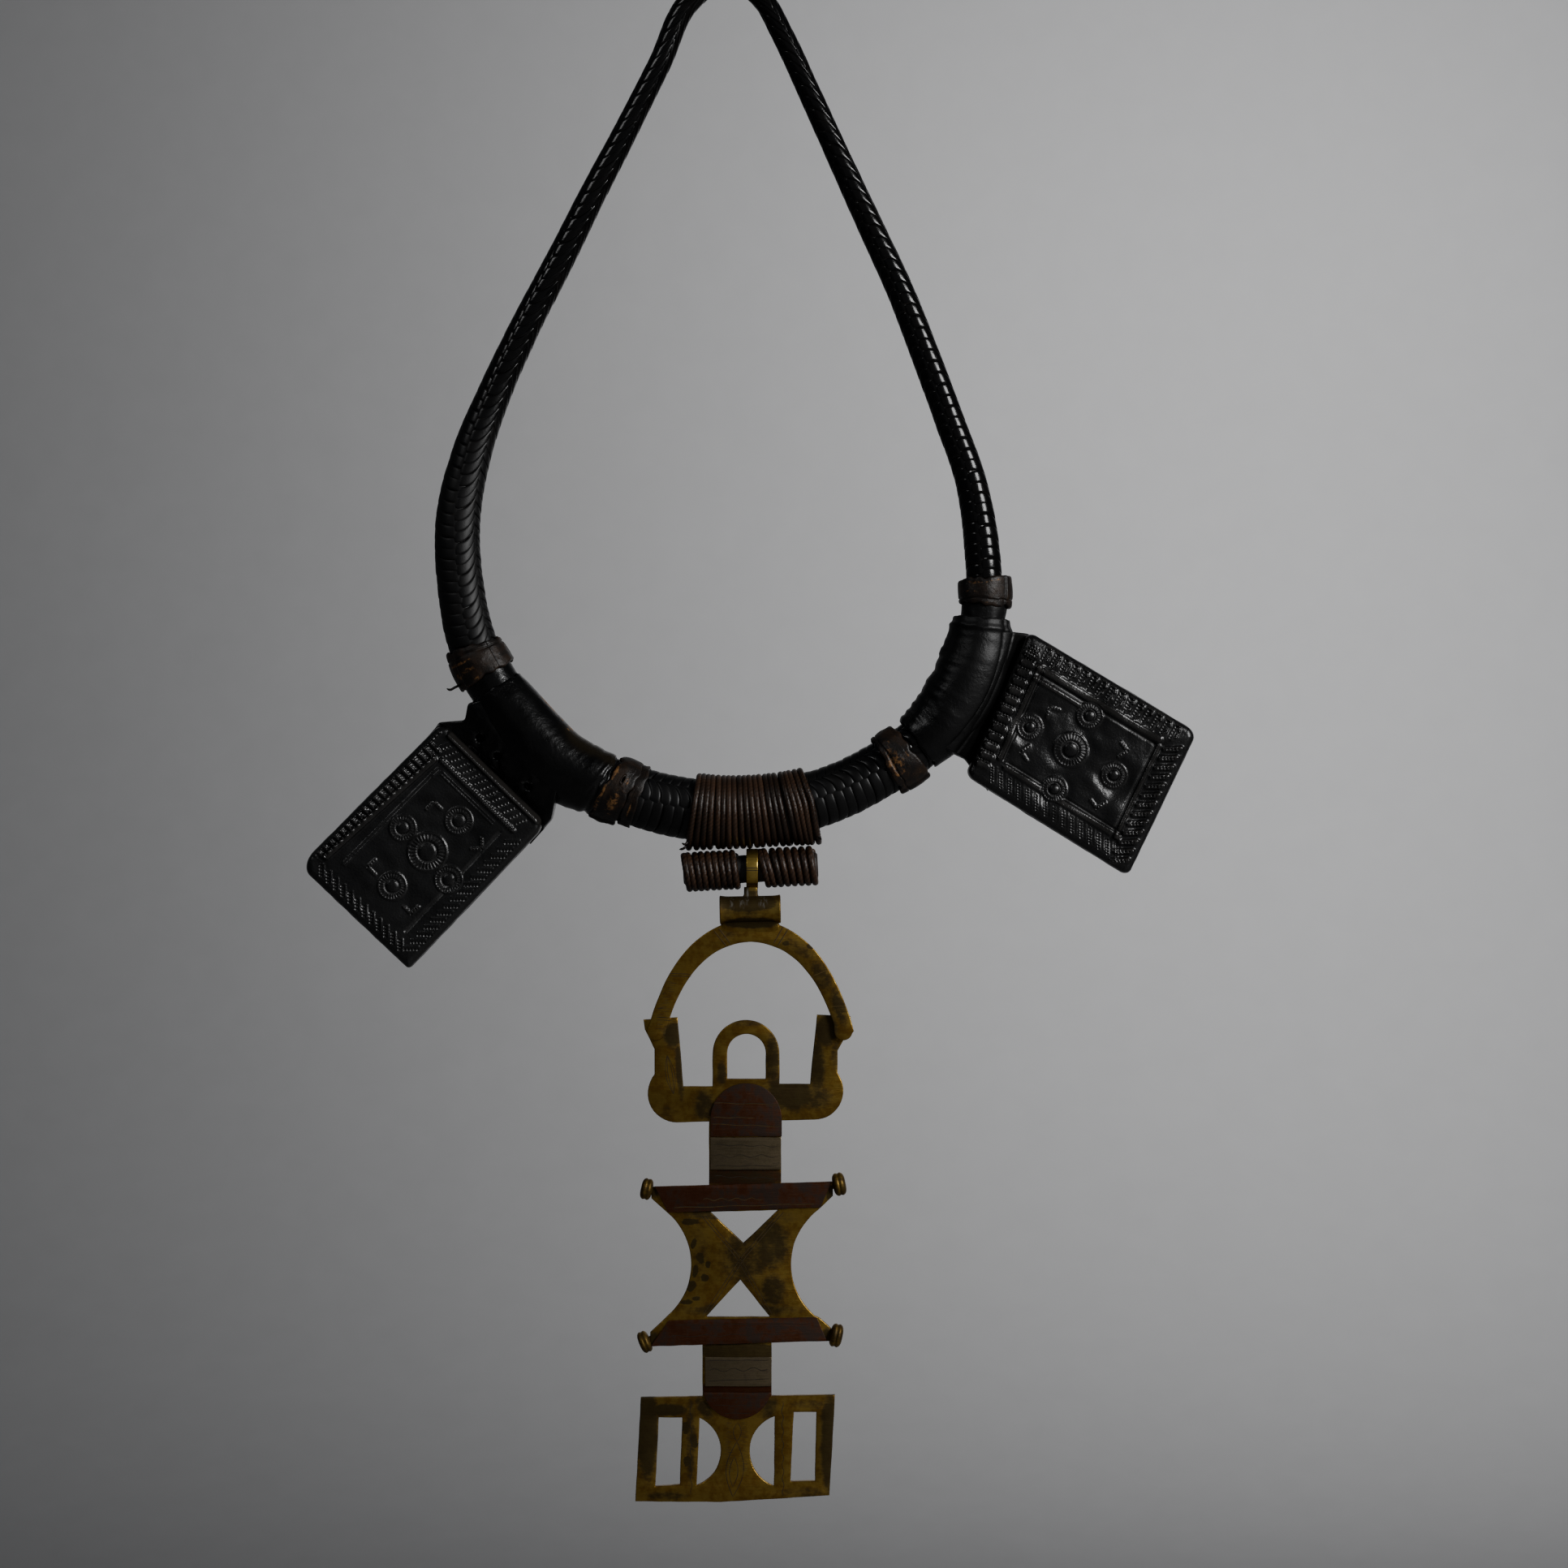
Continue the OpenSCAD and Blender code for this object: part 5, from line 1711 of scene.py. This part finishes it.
        # the strap's three lines
        for up in (0.35, -0.35, -4.6):
            angle = math.asin(up / STRAP_OUTER) + np.array([[-0.02], [0.02]])
            r = STRAP_OUTER + 0.03
            dark.grid(joined(HINGE[0] + np.linspace(-1.2, 2.2, 5), -r * np.cos(angle),
                             HINGE[1] + r * np.sin(angle)))
        line = mottled("engraved_line", (0.006, 0.004, 0.002), (0.03, 0.018, 0.007), 0.5, 0.3)
        # the pale ribbons' finish is a painted highlight along the cuts' edges
        edge = mottled("cut_edge_highlight", (0.4, 0.26, 0.09), (0.2, 0.12, 0.045), 0.25, 0.9)
        build("engraved_lines", dark, line, "pendant", turn=False)
        build("engraved_edge_highlights", bright, edge, "pendant", turn=False)
        return {'FINISHED'}


# ---------------------------------------------------------------------------
# Stage
# ---------------------------------------------------------------------------

# Height of the floor, radius of the bend up to the backdrop, and half the paper's width
FLOOR, PAPER_BEND, PAPER_HALF = -0.66, 0.7, 2.2


class NECKLACE_OT_stage(Operator):
    """Set up the pale floor, the lights and the camera"""
    bl_idname = "necklace.stage"
    bl_label = "Stage"

    def execute(self, context):
        look = context.scene.necklace.stage

        def put(name, data, at=(0, 0, 0), turn=(0, 0, 0)):
            thing = bpy.data.objects.new(name, data)
            thing.location, thing.rotation_euler = at, turn
            context.scene.collection.objects.link(thing)
            return thing

        f = Finish("stage_paper")
        shaded = tuple(c * 0.93 for c in look.paper_colour)
        f.set(Base_Color=f.mixed(look.paper_colour, shaded, f.noise(0.02)), Roughness=0.9,
              Specular_IOR_Level=0.1)
        far = look.backdrop - PAPER_BEND
        profile = ([(y, FLOOR) for y in np.linspace(-2.4, far, 8)]
                   + arc(far, FLOOR + PAPER_BEND, PAPER_BEND, -85, 0, 18)
                   + [(look.backdrop, z) for z in np.linspace(0.1, 1.8, 6)])
        y, z = np.array(profile).T[..., None]
        surface = Surface()
        surface.grid(joined(np.linspace(-PAPER_HALF, PAPER_HALF, 12), y, z) / MM)
        mesh = surface.mesh("stage_sweep")
        mesh.shade_smooth()
        mesh.materials.append(f.material)
        put("stage_sweep", mesh)

        world = bpy.data.worlds.new("studio")
        world.use_nodes = True
        background = world.node_tree.nodes["Background"]
        background.inputs["Color"].default_value = (0.85, 0.92, 1.0, 1.0)
        background.inputs["Strength"].default_value = look.room_light
        context.scene.world = world
        for name, at, aim, size, power in (
                ("key", (1.0, -0.76, 0.2), (0.0, 0.0, -0.2), (0.4, 0.5), look.key_power),
                ("fill", (-0.9, -0.9, 0.7), (0.0, 0.0, -0.25), (0.35, 0.35), look.fill_power),
                ("front", (0.2, -2.4, 0.2), (0.0, 0.0, -0.3), (2.4, 1.8), look.front_power),
                ("backdrop", (0.35, 0.72, 0.05), (0.35, 1.4, 0.05), (0.3, 0.3), look.back_power)):
            light = bpy.data.lights.new(name, 'AREA')
            light.shape, light.energy = 'RECTANGLE', power
            light.size, light.size_y = size
            put(name, light, at, (Vector(aim) - Vector(at)).to_track_quat('-Z', 'Y').to_euler())

        camera = bpy.data.cameras.new("camera")
        camera.lens, camera.sensor_width, camera.clip_end = 100, 36, 20
        context.scene.camera = put("camera", camera, (0.0175, -1.342, -0.2455),
                                   (math.pi / 2, 0, 0))
        return {'FINISHED'}


# ---------------------------------------------------------------------------
# Settings, panel and run
# ---------------------------------------------------------------------------


def length(name, text, default, smallest=0.0, largest=0.1):
    return FloatProperty(name=name, description=text, default=default, min=smallest,
                         max=largest, unit='LENGTH', precision=5)


def tint(name, text, default):
    return FloatVectorProperty(name=name, description=text, default=default, size=3, min=0.0,
                               max=1.0, subtype='COLOR')


def amount(name, text, default, largest):
    return FloatProperty(name=name, description=text, default=default, min=0, max=largest)


def power(name, text, default):
    return FloatProperty(name=name, description=text, default=default, min=0, max=500,
                         subtype='POWER')


class CollarSettings(PropertyGroup):
    groove_depth: length("Groove depth", "Depth of the grooves between strips", 0.00034)
    end_dip: length("End dip", "How far a strip's ends dive under their neighbours", 0.0007)
    relief: amount("Lift", "Strength of the strips' raised edges", 1.0, 3)
    core_inset: amount("Core inset", "Share of the collar's radius between the strips and the "
                       "core", 0.14, 0.5)
    colour: tint("Leather", "Colour of the polished strips", (0.0014, 0.0013, 0.0014))
    brown_colour: tint("Brown", "Colour of the strips that lost their dye",
                       (0.004, 0.003, 0.0024))
    # Partly wear and partly a painted glint along the strips' lips
    edge_wear_and_glint_colour: tint("Worn edge", "Colour of the strips' worn edges", (0.034, 0.026, 0.02))


class SleeveSettings(PropertyGroup):
    radius: length("Radius", "Outer radius of a sleeve at its middle", 0.011)
    wall: length("Thickness", "Thickness of the sleeves' leather", 0.0017)
    band_wall: length("Band thickness", "Thickness of the bands' leather", 0.0014)
    colour: tint("Leather", "Colour of the sleeves", (0.0014, 0.0013, 0.0013))
    brown_colour: tint("Brown", "Colour of the sleeves' thinner dye", (0.009, 0.0065, 0.003))
    worn_colour: tint("Worn", "Colour of the sleeves where they are rubbed",
                      (0.2, 0.095, 0.028))
    band_colour: tint("Band", "Colour of the bands", (0.018, 0.009, 0.004))
    band_dark: tint("Band, dark", "Colour of the bands' darker parts", (0.005, 0.003, 0.002))
    gold_colour: tint("Band wear", "Colour of the bands' worn parts", (0.2, 0.095, 0.03))


class PouchSettings(PropertyGroup):
    thickness: length("Thickness", "Thickness of a pouch", 0.0086)
    edge_radius: length("Edge", "Rounding of a pouch's edges", 0.0022)
    stamp_depth: amount("Stamp depth", "Strength of the stamped pattern", 1.0, 2)
    colour: tint("Leather", "Colour of the pouches", (0.0016, 0.0014, 0.0014))
    grey_colour: tint("Wax", "Colour of the wax on the pouches", (0.0035, 0.0033, 0.0032))
    # Partly wear and partly a painted sheen on the raised parts
    brown_colour: tint("Worn", "Colour of the raised parts", (0.016, 0.0145, 0.013))


class CordSettings(PropertyGroup):
    thickness: length("Thickness", "Thickness of the cord round the collar", 0.002)
    lay: length("Lay", "Length of one full twist of the cord", 0.0038)
    binding_turns: IntProperty(name="Turns", description="Turns round the collar", default=21,
                               min=5, max=40)
    colour: tint("Cord", "Colour of the waxed cord", (0.052, 0.0265, 0.0145))
    # Painted shade between the plies
    dark_colour: tint("Dark", "Colour between the plies", (0.009, 0.005, 0.003))
    rubbed_colour: tint("Rubbed", "Colour of the rubbed plies", (0.17, 0.08, 0.035))


class PendantSettings(PropertyGroup):
    plate_thickness: length("Plate", "Thickness of the brass plate", 0.0024)
    overlay_thickness: length("Overlay", "Thickness of the overlays", 0.0006)
    edge_radius: length("Edge", "Rounding of the plate's edges", 0.00028)
    brass_colour: tint("Brass", "Colour of the bright brass", (0.36, 0.225, 0.045))
    warm_colour: tint("Warm brass", "Colour of the redder brass", (0.25, 0.13, 0.02))
    # Also the colour of the painted highlight low on the barrel
    bright_colour: tint("Polished brass", "Colour of the rubbed brass", (0.62, 0.44, 0.1))
    # Also paints the shade along the barrel's underside
    dark_colour: tint("Patina", "Colour of the patina", (0.03, 0.023, 0.011))
    # Also the copper tone of the painted highlight low on the barrel
    copper_colour: tint("Copper", "Colour of the copper", (0.1, 0.034, 0.014))
    copper_dark: tint("Copper patina", "Colour of the copper's patina", (0.03, 0.015, 0.009))
    copper_pale: tint("Copper wear", "Colour of the rubbed copper", (0.2, 0.09, 0.05))
    silver_colour: tint("Pale metal", "Colour of the pale metal", (0.17, 0.13, 0.075))
    silver_dark: tint("Pale patina", "Colour of the pale metal's tarnish", (0.055, 0.04, 0.022))


class StageSettings(PropertyGroup):
    backdrop: length("Backdrop", "Distance from the necklace to the backdrop", 1.4, 0.1, 3.0)
    paper_colour: tint("Paper", "Colour of the floor and backdrop", (0.24, 0.24, 0.243))
    room_light: amount("Room light", "Strength of the room's light", 0.05, 5)
    key_power: power("Key", "Power of the main light", 15)
    fill_power: power("Fill", "Power of the light on the left", 2.0)
    front_power: power("Front", "Power of the wide light in front", 1.0)
    back_power: power("Backdrop light", "Power of the backdrop's light", 10)


class NecklaceSettings(PropertyGroup):
    collar: PointerProperty(type=CollarSettings)
    sleeves: PointerProperty(type=SleeveSettings)
    pouches: PointerProperty(type=PouchSettings)
    cords: PointerProperty(type=CordSettings)
    pendant: PointerProperty(type=PendantSettings)
    stage: PointerProperty(type=StageSettings)


OPERATORS = (NECKLACE_OT_collar, NECKLACE_OT_sleeves, NECKLACE_OT_bands, NECKLACE_OT_pouches,
             NECKLACE_OT_binding, NECKLACE_OT_roll, NECKLACE_OT_pendant, NECKLACE_OT_overlays,
             NECKLACE_OT_engraving, NECKLACE_OT_stage)


class NECKLACE_PT_panel(Panel):
    """Buttons that build the necklace and the sizes and colours they use"""
    bl_idname = "NECKLACE_PT_panel"
    bl_label = "Necklace"
    bl_space_type = 'VIEW_3D'
    bl_region_type = 'UI'
    bl_category = "Necklace"

    def draw(self, context):
        column = self.layout.column(align=True)
        for operator in OPERATORS:
            column.operator(operator.bl_idname)
        settings = context.scene.necklace
        for name in settings.__annotations__:
            box = self.layout.box()
            box.label(text=name.capitalize())
            group = getattr(settings, name)
            for key in group.__annotations__:
                box.prop(group, key)


CLASSES = (CollarSettings, SleeveSettings, PouchSettings, CordSettings, PendantSettings,
           StageSettings, NecklaceSettings, *OPERATORS, NECKLACE_PT_panel)


def register():
    for kind in CLASSES:
        bpy.utils.register_class(kind)
    bpy.types.Scene.necklace = PointerProperty(type=NecklaceSettings)


def unregister():
    del bpy.types.Scene.necklace
    for kind in reversed(CLASSES):
        bpy.utils.unregister_class(kind)


def main():
    register()
    bpy.ops.necklace.stage()
    bpy.ops.necklace.collar()
    bpy.ops.necklace.sleeves()
    bpy.ops.necklace.bands()
    bpy.ops.necklace.pouches()
    bpy.ops.necklace.binding()
    bpy.ops.necklace.roll()
    bpy.ops.necklace.pendant()
    bpy.ops.necklace.overlays()
    bpy.ops.necklace.engraving()


if __name__ == "__main__":
    main()
